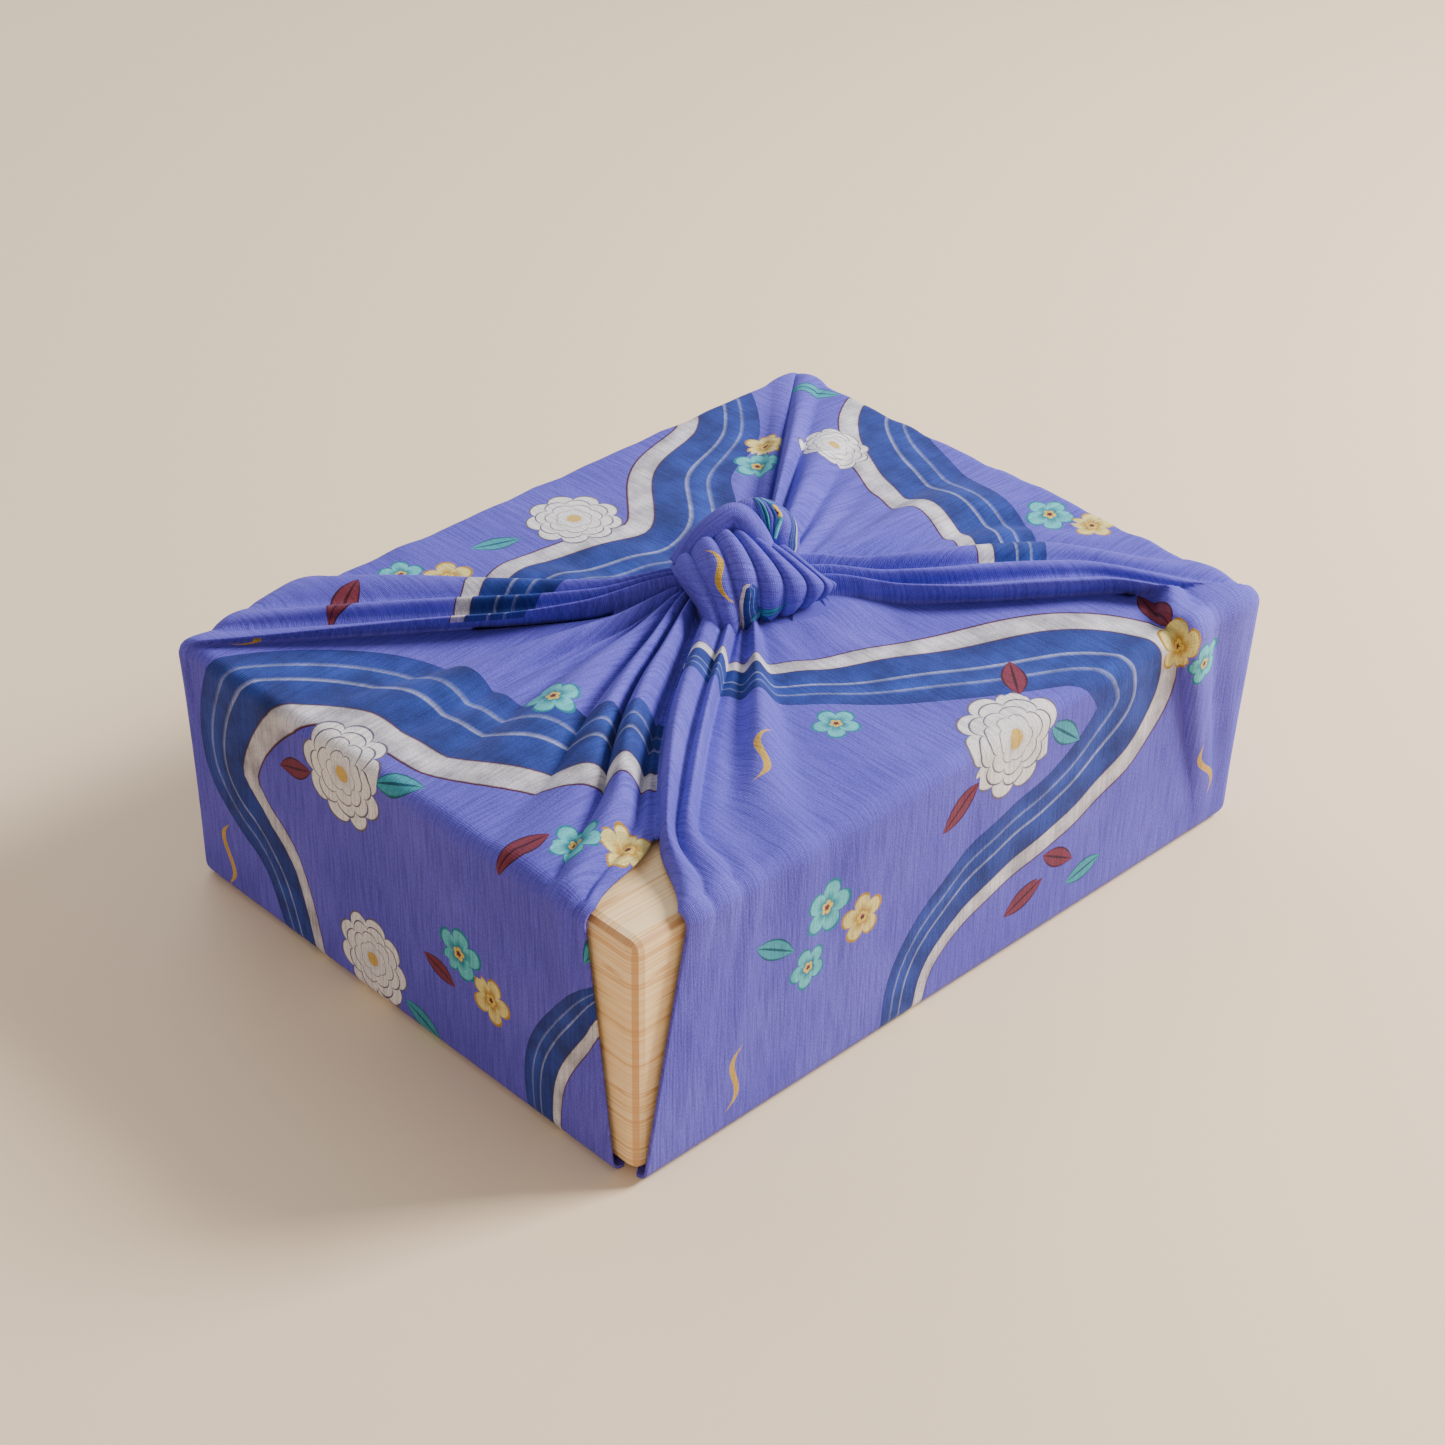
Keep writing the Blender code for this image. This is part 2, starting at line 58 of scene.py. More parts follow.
# Wooden box.
# A plain gift box of hinoki, a pale close-grained cypress, planed and left
# bare. It fills the wrap and shows only in the gap at the near corner.
GRAIN_MM = 5.0
GRAIN_LENGTH_MM = 160
FIBRE_MM = 0.6
FIBRE_LENGTH_MM = 22


def linear(code):
    """Turns an sRGB hex value into linear red, green, blue and alpha."""
    channels = [int(code[i:i + 2], 16) / 255 for i in (1, 3, 5)]
    return [c / 12.92 if c < 0.04045 else ((c + 0.055) / 1.055) ** 2.4 for c in channels] + [1.0]


def add(tree, kind, inputs=None, **settings):
    """Adds a node with its settings, and with each input set to a value or fed by a socket."""
    made = tree.nodes.new(kind)
    for name, value in settings.items():
        setattr(made, name, value)
    for name, value in (inputs or {}).items():
        if isinstance(value, bpy.types.NodeSocket):
            tree.links.new(value, made.inputs[name])
        else:
            made.inputs[name].default_value = value
    return made


def bare(name):
    """A material emptied down to one Principled shader, with its tree and that shader."""
    material = bpy.data.materials.new(name)
    material.use_nodes = True
    tree = material.node_tree
    tree.nodes.clear()
    shader = tree.nodes.new("ShaderNodeBsdfPrincipled")
    out = tree.nodes.new("ShaderNodeOutputMaterial")
    tree.links.new(shader.outputs["BSDF"], out.inputs["Surface"])
    return material, tree, shader


def set_stops(ramp, stops):
    """Sets a colour ramp's stops, (position, hex colour) each, and gives its colour output."""
    elements = ramp.color_ramp.elements
    while len(elements) > 1:
        elements.remove(elements[-1])
    elements[0].position = stops[0][0]
    elements[0].color = linear(stops[0][1])
    for position, code in stops[1:]:
        elements.new(position).color = linear(code)
    return ramp.outputs["Color"]


def planed_hinoki():
    """Planed hinoki: cream wood with fine level growth lines and a faint silky gloss.

    The boards' grain is level on every face. Height tells the lines apart on
    the sides, and Y on the lid. The rounded edges are mixed towards a darker
    brown as painted shade.
    """
    material, tree, shader = bare("planed hinoki")
    place = add(tree, "ShaderNodeTexCoord")
    at = add(tree, "ShaderNodeSeparateXYZ", {0: place.outputs["Object"]})
    facing = add(tree, "ShaderNodeSeparateXYZ", {0: place.outputs["Normal"]})
    around = add(tree, "ShaderNodeMath", {0: at.outputs["X"], 1: at.outputs["Y"]}, operation="ADD")
    side = add(tree, "ShaderNodeCombineXYZ", {0: around.outputs[0], 1: at.outputs["Z"]})
    lid = add(tree, "ShaderNodeCombineXYZ", {0: at.outputs["X"], 1: at.outputs["Y"]})
    upward = add(tree, "ShaderNodeMath", {0: facing.outputs["Z"], 1: 0.6}, operation="GREATER_THAN")
    board = add(tree, "ShaderNodeMix", {0: upward.outputs[0], 4: side.outputs[0], 5: lid.outputs[0]},
                data_type="VECTOR").outputs[1]
    growth = add(tree, "ShaderNodeMapping",
                 {"Vector": board, "Scale": (1000 / GRAIN_LENGTH_MM, 1000 / GRAIN_MM, 1.0)})
    lines = add(tree, "ShaderNodeTexNoise",
                {"Vector": growth.outputs[0], "Scale": 1.0, "Detail": 2.0, "Distortion": 0.25})
    tone = set_stops(add(tree, "ShaderNodeValToRGB", {0: lines.outputs["Fac"]}), [
        (0.30, "#f2cf9a"), (0.44, "#f8d9a6"), (0.475, "#dca86c"),
        (0.50, "#f7d7a0"), (0.60, "#eec488"), (0.75, "#fbe0b2")])
    fibre = add(tree, "ShaderNodeMapping",
                {"Vector": board, "Scale": (1000 / FIBRE_LENGTH_MM, 1000 / FIBRE_MM, 1.0)})
    pores = add(tree, "ShaderNodeTexNoise", {"Vector": fibre.outputs[0], "Scale": 1.0, "Detail": 3.0})
    fleck = add(tree, "ShaderNodeMapRange",
                {"Value": pores.outputs["Fac"], "From Min": 0.3, "From Max": 0.7,
                 "To Min": 0.96, "To Max": 1.03})
    # Painted shade: where the normal leans away from every axis, on the rounded edges, the wood is mixed
    # towards a darker brown.
    sized = add(tree, "ShaderNodeVectorMath", {0: place.outputs["Normal"]}, operation="ABSOLUTE")
    sized = add(tree, "ShaderNodeSeparateXYZ", {0: sized.outputs[0]})
    most = add(tree, "ShaderNodeMath", {0: sized.outputs["X"], 1: sized.outputs["Y"]}, operation="MAXIMUM")
    most = add(tree, "ShaderNodeMath", {0: most.outputs[0], 1: sized.outputs["Z"]}, operation="MAXIMUM")
    rounded = add(tree, "ShaderNodeMapRange",
                  {"Value": most.outputs[0], "From Min": 0.99, "From Max": 0.80,
                   "To Min": 0.0, "To Max": 0.75})
    planed = add(tree, "ShaderNodeVectorMath", {0: tone, 1: fleck.outputs[0]},
                 operation="MULTIPLY")
    # The darker brown mixed in here is the painted edge shade.
    colour = add(tree, "ShaderNodeMix",
                 {0: rounded.outputs[0], 6: planed.outputs[0], 7: linear("#c28a54")}, data_type="RGBA")
    tree.links.new(colour.outputs[2], shader.inputs["Base Color"])
    relief = add(tree, "ShaderNodeBump",
                 {"Height": pores.outputs["Fac"], "Strength": 0.10, "Distance": 0.0002})
    tree.links.new(relief.outputs[0], shader.inputs["Normal"])
    shader.inputs["Roughness"].default_value = 0.5
    shader.inputs["Specular IOR Level"].default_value = 0.4
    return material


hinoki = planed_hinoki()
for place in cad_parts["box"].material_slots:
    place.material = hinoki

# Cloth.
# One square of slubbed crepe cotton, cut 55 cm each way and hemmed, passed
# under the box, drawn up its sides and gathered into folds that run to the
# knot. The wood shows where two of its edges part at the near corner.
THIN = 0.0009
LENGTH = 0.280
WIDTH = 0.216
HEIGHT = 0.091
SKIN = 0.0018
EDGE_RADIUS = 0.003
KNOT = (0.0070, -0.0066)
KNOT_AXIS = math.radians(-45)
RING_LONG = 0.024
RING_SHORT = 0.013
RING_RISE = 0.0045
RISE_REACH = 0.22
WINDOW_START = 0.71
WINDOW_END = 2.1
BOW_REACH = 0.71
RIPPLE = 0.0004
RIPPLE_QUICK = 72
RIPPLE_SLOW = 13

# The folds, counter-clockwise from the gap. Each row is the strip of cloth
# from one valley to the next, and gives the valley that it starts from.
# aim, foot, hem: place of the valley over the top, on the rim and at the
#   base, 0 at the near corner, 1 at the right, 2 at the far, 3 at the left
# ring: where the valley leaves the knot, in degrees around it
# bow: how far the valley strays sideways half way over the top, in mm
# cleft, notch: how deep the valley is over the top and on the rim, as a
#   share of the lower crest beside it
# knot, mid, rim, side: height of the crest in mm at the knot, half way over
#   the top, at the rim and at the head of the side, whence it dies away
# lean: how far the crest tips over the next valley (or back, if negative)
# soft: 1 for a sharp-valleyed pleat, 2 for a soft wave
# columns: number of mesh columns across the strip
FOLD_COLUMNS = ("aim", "foot", "hem", "ring", "bow", "cleft", "notch",
                "knot", "mid", "rim", "side", "lean", "soft", "columns")
FOLDS = (
    (0.014, 0.068, 0.008, 180, -5.0, 1.0, 1.0, 6.5, 11.0, 2.4, 0.8, 0.0, 0.8, 18),
    (0.030, 0.104, 0.048, 203, -2.0, 0.5, 0.8, 5.5, 9.0, 1.8, 0.6, 0.1, 0.8, 14),
    (0.066, 0.145, 0.100, 212, -2.0, 1.0, 1.0, 1.0, 0.5, 0.5, 0.5, 0.0, 2, 10),
    (0.125, 0.185, 0.150, 218, 0.0, 1.0, 1.0, 4.0, 6.0, 1.4, 0.7, 0.0, 2, 14),
    (0.280, 0.280, 0.280, 228, 0.0, 1.0, 1.0, 0.5, 0.8, 0.8, 0.6, 0.0, 2, 12),
    (0.500, 0.500, 0.500, 244, 0.0, 1.0, 1.0, 0.5, 0.8, 0.6, 0.6, 0.0, 2, 12),
    (0.720, 0.690, 0.700, 285, 0.0, 1.0, 1.0, 0.5, 0.8, 0.6, 0.6, 0.0, 2, 12),
    (1.030, 0.866, 0.935, 342, -1.0, 1.0, 1.0, 7.0, 10.0, 6.0, 5.5, -0.9, 0.7, 18),
    (1.085, 0.930, 0.972, 355, 1.0, 0.6, 0.4, 9.0, 10.0, 4.5, 3.4, -0.6, 0.8, 14),
    (1.160, 1.020, 1.004, 9, 3.0, 0.7, 0.5, 12.0, 9.0, 3.0, 1.2, -0.3, 0.8, 16),
    (1.270, 1.130, 1.080, 19, 3.0, 0.9, 0.8, 5.0, 2.5, 0.8, 0.5, 0.0, 2, 10),
    (1.390, 1.270, 1.230, 27, 0.0, 1.0, 1.0, 8.0, 7.0, 1.6, 0.4, 0.0, 1.3, 14),
    (1.590, 1.550, 1.540, 31, 0.0, 1.0, 1.0, 1.0, 1.0, 0.3, 0.2, 0.0, 2, 8),
    (1.690, 1.690, 1.690, 34, 0.0, 1.0, 1.0, 3.0, 1.5, 0.3, 0.2, 0.0, 2, 10),
    (1.800, 1.800, 1.820, 37, 0.0, 0.9, 1.0, 8.0, 7.0, 0.8, 0.4, 0.0, 1, 12),
    (1.925, 1.930, 1.940, 42, 0.0, 0.7, 0.5, 8.0, 8.0, 2.5, 0.8, 0.0, 0.8, 12),
    (1.985, 1.990, 1.990, 47, 0.0, 0.8, 0.5, 5.0, 3.0, 1.0, 0.4, 0.0, 1, 10),
    (2.050, 2.055, 2.050, 56, 0.0, 1.0, 1.0, 2.0, 1.2, 0.3, 0.2, 0.0, 2, 8),
    (2.180, 2.180, 2.180, 68, 0.0, 1.0, 1.0, 1.5, 1.6, 0.3, 0.2, 0.0, 2, 10),
    (2.400, 2.400, 2.400, 80, 0.0, 1.0, 1.0, 1.0, 1.2, 0.3, 0.2, 0.0, 2, 10),
    (2.620, 2.620, 2.640, 92, 0.0, 1.0, 1.0, 2.0, 1.6, 0.6, 0.3, 0.0, 2, 10),
    (2.780, 2.785, 2.860, 104, 0.0, 0.9, 0.8, 10.0, 10.0, 7.5, 1.0, 0.3, 0.8, 16),
    (2.900, 2.905, 2.930, 114, 0.0, 0.5, 0.3, 10.0, 10.5, 5.5, 1.2, 0.5, 0.8, 14),
    (2.957, 2.957, 2.975, 126, 0.0, 0.6, 0.3, 10.0, 10.0, 3.0, 1.2, 0.9, 0.8, 18),
    (3.014, 3.012, 3.008, 139, 0.0, 1.0, 1.0, 3.0, 1.0, 0.4, 0.4, 0.0, 2, 10),
    (3.250, 3.250, 3.250, 143, -2.0, 1.0, 1.0, 8.0, 6.0, 0.6, 0.4, 0.1, 0.9, 12),
    (3.400, 3.400, 3.400, 147, -3.0, 0.8, 1.0, 5.0, 2.0, 0.6, 0.4, 0.0, 2, 8),
    (3.510, 3.510, 3.510, 150, -5.0, 1.0, 1.0, 8.0, 7.0, 1.0, 0.6, 0.1, 0.9, 14),
    (3.705, 3.700, 3.700, 156, -5.0, 0.8, 0.8, 9.0, 9.0, 2.0, 0.6, 0.2, 0.8, 14),
    (3.840, 3.830, 3.855, 163, -6.0, 0.9, 0.8, 7.5, 11.0, 4.0, 1.4, 0.0, 0.8, 18),
    (3.935, 3.890, 3.938, 172, -3.0, 1.0, 1.0, 1.0, 1.0, 1.5, 1.0, 0.0, 2, 6),
    (3.986, 3.910, 3.962, 177, -5.0, 1.0, 1.0, 0.0, 0.0, 0.0, 0.0, 0.0, 2, 3),
)

# Stations of the mesh rows: 0 at the knot, 1 on the rim, 1.2 at the head of
# the side, 1.9 at its foot, 2 on the underside and 3 at its middle.
TOP_ROWS = 60
STATIONS = np.concatenate([
    np.linspace(0.0, 1.0, TOP_ROWS, endpoint=False) ** 1.15,
    np.linspace(1.0, 1.2, 9, endpoint=False),
    np.linspace(1.2, 1.9, 26, endpoint=False),
    np.linspace(1.9, 2.0, 5, endpoint=False),
    (2.0, 2.15, 2.5, 2.9)])
HEIGHT_STATIONS = np.array((0.0, 0.5, 0.98, 1.22, 2.0))


def smooth(x):
    """A step from 0 to 1 that starts and ends level: three squares less two cubes."""
    x = np.clip(x, 0.0, 1.0)
    return x * x * (3.0 - 2.0 * x)


def footprint(place):
    """Core point, outward normal and tangent of the rounded plan outline, 0 to 4 around it."""
    half = np.array([LENGTH, WIDTH]) / 2 - SKIN - EDGE_RADIUS
    place = np.mod(place, 4.0)
    side = np.minimum(np.floor(place).astype(int), 3)
    arc = EDGE_RADIUS * math.pi / 4
    straight = np.where(side % 2 == 0, 2 * half[0], 2 * half[1])
    travel = (place - side) * (straight + 2 * arc)
    turn = np.clip(travel / arc, 0.0, 1.0) - 1.0 + np.clip((travel - arc - straight) / arc, 0.0, 1.0)
    angle = np.radians(-90.0 + 90.0 * side + 45.0 * turn)
    corners = half * np.array([(-1, -1), (1, -1), (1, 1), (-1, 1)])
    heading = np.array([(1, 0), (0, 1), (-1, 0), (0, -1)])
    core = corners[side] + heading[side] * np.clip(travel - arc, 0.0, straight)[..., None]
    normal = np.stack([np.cos(angle), np.sin(angle)], -1)
    tangent = np.stack([-np.sin(angle), np.cos(angle)], -1)
    return core, normal, tangent


def fold_lines():
    """The table spread over the mesh columns.

    Between two valleys the lines go in proportion. The height is the valley
    floor, plus what the crest stands above it times half a sine wave from
    valley to valley, raised to the power soft.
    """
    rows = np.array(FOLDS, float)
    names = {name: i for i, name in enumerate(FOLD_COLUMNS)}
    after = np.roll(rows, -1, axis=0)
    after[-1, :3] += 4.0
    after[:, names["ring"]] += 360.0 * (after[:, names["ring"]] < rows[:, names["ring"]])
    crest = rows[:, names["knot"]:names["side"] + 1] / 1000
    share = 1.0 - rows[:, [names["cleft"], names["cleft"], names["notch"], names["notch"]]]
    floor = share * np.minimum(crest, np.roll(crest, 1, axis=0))
    floor_after = np.roll(floor, -1, axis=0)
    lean = rows[:, names["lean"]]
    before = np.roll(lean, 1)
    valley_lean = np.where(np.abs(before) > np.abs(lean), before, lean)
    counts = rows[:, names["columns"]].astype(int)
    strip = np.repeat(np.arange(len(rows)), counts)
    t = np.concatenate([np.arange(count) / count for count in counts])[:, None]
    lines = rows[strip, :5] * (1 - t) + after[strip, :5] * t
    bump = np.sin(math.pi * t) ** rows[strip, names["soft"]][:, None]
    sill = floor[strip] * (1 - t) + floor_after[strip] * t
    heights = sill + (crest[strip] - sill) * bump
    tip = np.where(t[:, 0] > 0, lean[strip], valley_lean[strip])
    spread = dict(zip(FOLD_COLUMNS[:5], lines.T))
    spread.update(zip(("knot", "mid", "rim", "side"), heights.T))
    spread.update(lean=tip, strip=strip, share=t[:, 0])
    return spread


def crest_height(lines, station):
    """Height of the folds: a cubic through the four heights of each column, then nothing."""
    values = np.stack([lines["knot"], lines["mid"], lines["rim"], lines["side"],
                       np.zeros_like(lines["side"])])
    slope = np.gradient(values, HEIGHT_STATIONS, axis=0)
    slope[-1] = 0
    s = np.minimum(station, 2.0)
    i = np.clip(np.searchsorted(HEIGHT_STATIONS, s, side="right") - 1, 0, 3)
    width = np.diff(HEIGHT_STATIONS)[i][:, None]
    t = ((s - HEIGHT_STATIONS[i])[:, None]) / width
    height = ((2 * t**3 - 3 * t**2 + 1) * values[i] + (t**3 - 2 * t**2 + t) * width * slope[i]
              + (3 * t**2 - 2 * t**3) * values[i + 1] + (t**3 - t**2) * width * slope[i + 1])
    return np.maximum(height, 0.0)


def cloth_base(lines):
    """Where the cloth would lie with no folds: point, outward normal and sideways direction.

    Each column runs from the ring at the knot to its place on the rim, rounds
    the rim in an arc, goes down the side and turns in under the box.
    """
    s = STATIONS[:, None]
    top = HEIGHT - SKIN
    floor = SKIN
    t = np.radians(lines["ring"]) - KNOT_AXIS
    along = np.array([math.cos(KNOT_AXIS), math.sin(KNOT_AXIS)])
    across = np.array([-along[1], along[0]])
    start = (np.array(KNOT) + RING_LONG * np.cos(t)[:, None] * along
             + RING_SHORT * np.sin(t)[:, None] * across)
    bend = smooth((s - WINDOW_START + 0.02) / (1.02 - WINDOW_START))
    over = lines["aim"] + (lines["foot"] - lines["aim"]) * bend
    down = lines["foot"] + (lines["hem"] - lines["foot"]) * np.clip((s - 1.2) / 0.7, 0.0, 1.0)
    core, normal, tangent = footprint(np.where(s <= 1.0, over, down))
    run = core - start
    beside = np.stack([-run[..., 1], run[..., 0]], -1)
    beside /= np.linalg.norm(beside, axis=-1)[..., None]
    bow = lines["bow"] / 1000 * np.sin(math.pi * np.clip(s / BOW_REACH, 0.0, 1.0))
    flat = start + run * np.minimum(s, 1.0)[..., None] + beside * bow[..., None]
    rim = np.clip((s - 1.0) / 0.2, 0.0, 1.0) * math.pi / 2
    hem = np.clip((s - 1.9) / 0.1, 0.0, 1.0) * math.pi / 2
    reach = EDGE_RADIUS * np.sin(rim) * np.cos(hem)
    inward = 1.0 - np.clip(s - 2.0, 0.0, 1.0)
    plan = (flat + normal * reach[..., None]) * inward[..., None]
    fall = np.clip((s - 1.2) / 0.7, 0.0, 1.0) * (top - floor - 2 * EDGE_RADIUS)
    z = top - EDGE_RADIUS + EDGE_RADIUS * np.cos(rim) - fall - EDGE_RADIUS * np.sin(hem)
    z = z + RING_RISE * (1.0 - smooth(s / RISE_REACH))
    z = np.broadcast_to(z, plan.shape[:2])
    point = np.concatenate([plan, z[..., None]], -1)
    level = (np.sin(rim) * np.cos(hem))[..., None] * normal
    upward = np.cos(rim) - np.sin(hem)
    outward = np.concatenate([level, np.broadcast_to(upward, plan.shape[:2])[..., None]], -1)
    turn = (rim / (math.pi / 2))[..., None]
    sideways = beside + (tangent - beside) * turn
    sideways = np.concatenate([sideways, np.zeros(plan.shape[:2] + (1,))], -1)
    return point, outward, sideways


def lay_cloth():
    """The closed sheet: its outer face on the folds, its inner face a thickness below.

    A fold's lean grows on the way from the knot and dies away down the side,
    where the cloth also ripples a little: a quick sine round the box times a
    slow one.
    """
    lines = fold_lines()
    point, outward, sideways = cloth_base(lines)
    crest = crest_height(lines, STATIONS)
    s = STATIONS[:, None]
    calm = smooth(s / 0.40) * (1.0 - 0.15 * smooth((s - 0.95) / 0.25)) * (1.0 - smooth((s - 1.4) / 0.5))
    shear = lines["lean"] * calm
    waving = smooth((s - 0.85) / 0.3) * (1.0 - smooth((s - 1.5) / 0.45))
    ripple = (RIPPLE * np.sin(RIPPLE_QUICK * lines["foot"])
              * np.sin(RIPPLE_SLOW * lines["foot"] + 1.0) * waving)
    layers = []
    for sink in (0.0, THIN):
        rise = crest + ripple + SKIN - sink
        layers.append(point + outward * rise[..., None] + sideways * (rise * shear)[..., None])
    return lines, point, layers


def grid_faces(rows, columns, offset, skip):
    """Quads of a closed grid, all but those that the skip mask marks, with faces outward."""
    i, j = np.meshgrid(np.arange(rows - 1), np.arange(columns), indexing="ij")
    k = (j + 1) % columns
    quads = np.stack([i * columns + j, (i + 1) * columns + j,
                      (i + 1) * columns + k, i * columns + k], -1) + offset
    return quads[~skip]


def make_piece(name, points, faces, material):
    """A mesh object from arrays of points and faces, shaded smooth, with one material."""
    mesh = bpy.data.meshes.new(name)
    mesh.from_pydata(points.tolist(), [], faces)
    mesh.materials.append(material)
    mesh.polygons.foreach_set("use_smooth", np.full(len(mesh.polygons), True))
    mesh.update()
    piece = bpy.data.objects.new(name, mesh)
    bpy.context.scene.collection.objects.link(piece)
    return piece


# The print, in each flap's own flat measure in mm: across is 0 at the middle
# of the flap's side and up is 0 at its foot, so the rim is at 91.
# Each stream runs through its points: across, up and half width.
STREAMS = {
    0: [((-40, 186, 6), (-14, 154, 12), (30, 126, 19), (68, 106, 21), (80, 78, 20),
         (52, 56, 16), (8, 44, 14), (-22, 22, 11), (-28, -20, 8))],
    1: [((-60, 150, 9), (-22, 128, 15), (18, 120, 18), (58, 96, 15), (74, 52, 12),
         (52, 12, 9), (40, -20, 8))],
    2: [((70, 150, 8), (30, 140, 16), (-20, 150, 19), (-52, 120, 18), (-86, 104, 15),
         (-112, 66, 12), (-104, 24, 11), (-70, -20, 8)),
        ((112, 84, 2), (90, 68, 9), (62, 34, 11), (52, -20, 8))],
    3: [((52, 186, 9), (40, 150, 18), (4, 124, 23), (-38, 118, 22), (-70, 92, 19),
         (-84, 56, 15), (-58, 28, 12), (-44, -20, 9)),
        ((98, 72, 2), (84, 52, 8), (68, 22, 9), (70, -20, 5))],
    4: [((-4, -6, 2), (-10, -7, 3), (-18, -6, 5), (-26, -6, 8))],
    6: [((0, 0, 2), (6, 20, 2), (8, 60, 2))],
    7: [((0, -9, 4), (0, 30, 4)), ((62, -9, 8), (62, 30, 8))],
}

# The motifs: flap, across, up, radius, turn in degrees and kind.
PEONY, CYAN, YELLOW, TEAL_LEAF, MAROON_LEAF, SPRIG = 1, 2, 3, 4, 5, 6
MOTIFS = (
    (0, 20, 88, 20, 10, PEONY),
    (0, -62, 66, 10, 0, CYAN),
    (0, -47, 55, 9, 20, YELLOW),
    (0, -70, 48, 8, 40, CYAN),
    (0, -84, 62, 9, 150, TEAL_LEAF),
    (0, -4, 74, 10, 215, MAROON_LEAF),
    (0, 44, 80, 10, -40, TEAL_LEAF),
    (0, 40, 108, 10, 50, MAROON_LEAF),
    (0, 100, 88, 9, 0, YELLOW),
    (0, 113, 80, 8, 30, CYAN),
    (0, 104, 104, 10, 70, MAROON_LEAF),
    (0, -100, 22, 12, 70, SPRIG),
    (0, 30, 22, 10, 20, MAROON_LEAF),
    (0, 46, 30, 9, -30, MAROON_LEAF),
    (0, 60, 18, 9, 10, TEAL_LEAF),
    (0, -52, 128, 13, 30, SPRIG),
    (0, -20, 128, 8, 10, CYAN),
    (0, 122, 30, 13, 100, SPRIG),
    (1, 52, 126, 13, 40, PEONY),
    (1, -30, 104, 9, 0, CYAN),
    (1, -44, 98, 8, 30, YELLOW),
    (1, -62, 70, 18, 30, PEONY),
    (1, -40, 56, 10, -30, TEAL_LEAF),
    (1, -84, 84, 9, 120, MAROON_LEAF),
    (1, 20, 60, 10, 0, CYAN),
    (1, 30, 46, 8, 0, YELLOW),
    (1, 4, 30, 12, 40, SPRIG),
    (1, 88, 100, 10, 40, TEAL_LEAF),
    (2, -4, 118, 17, 10, PEONY),
    (2, 26, 112, 9, -20, TEAL_LEAF),
    (2, 52, 118, 9, 20, YELLOW),
    (2, 62, 106, 8, 20, CYAN),
    (2, 90, 112, 10, 20, MAROON_LEAF),
    (2, -76, 134, 9, 0, CYAN),
    (2, -88, 126, 8, 0, YELLOW),
    (2, -40, 62, 19, 30, PEONY),
    (2, 0, 44, 10, 10, CYAN),
    (2, 12, 32, 8, 40, YELLOW),
    (2, -14, 28, 9, 140, MAROON_LEAF),
    (2, 112, 40, 16, 0, PEONY),
    (3, -24, 84, 19, 20, PEONY),
    (3, 1, 92, 9, 20, TEAL_LEAF),
    (3, -48, 74, 9, 200, MAROON_LEAF),
    (3, 74, 118, 9, 0, YELLOW),
    (3, 62, 108, 9, 25, CYAN),
    (3, 52, 96, 9, -100, MAROON_LEAF),
    (3, 30, 46, 10, 10, CYAN),
    (3, 44, 36, 9, 0, YELLOW),
    (3, 20, 34, 8, 160, MAROON_LEAF),
    (3, -14, 18, 17, 0, PEONY),
    (3, 10, 8, 9, -20, TEAL_LEAF),
    (3, -92, 110, 10, 60, SPRIG),
    (3, -90, 18, 13, 80, SPRIG),
    (3, 92, 84, 10, 60, TEAL_LEAF),
    (3, 4, 150, 9, 0, CYAN),
    (4, 1, -12.5, 9, 165, SPRIG),
    (4, -13, -1.5, 5, 80, TEAL_LEAF),
    (7, 22, 8, 12, 90, TEAL_LEAF),
    (7, 83, 8, 12, 90, CYAN),
)


def curve_through(points, samples):
    """A smooth line through the points: Catmull-Rom, the same number of samples a span."""
    points = np.asarray(points, float)
    padded = np.vstack([2 * points[0] - points[1], points, 2 * points[-1] - points[-2]])
    t = np.linspace(0, 1, samples, endpoint=False)[:, None]
    spans = []
    for i in range(len(points) - 1):
        a, b, c, d = padded[i:i + 4]
        spans.append(0.5 * (2 * b + (c - a) * t + (2 * a - 5 * b + 4 * c - d) * t**2
                            + (3 * b - a - 3 * c + d) * t**3))
    return np.vstack(spans + [points[-1:]])


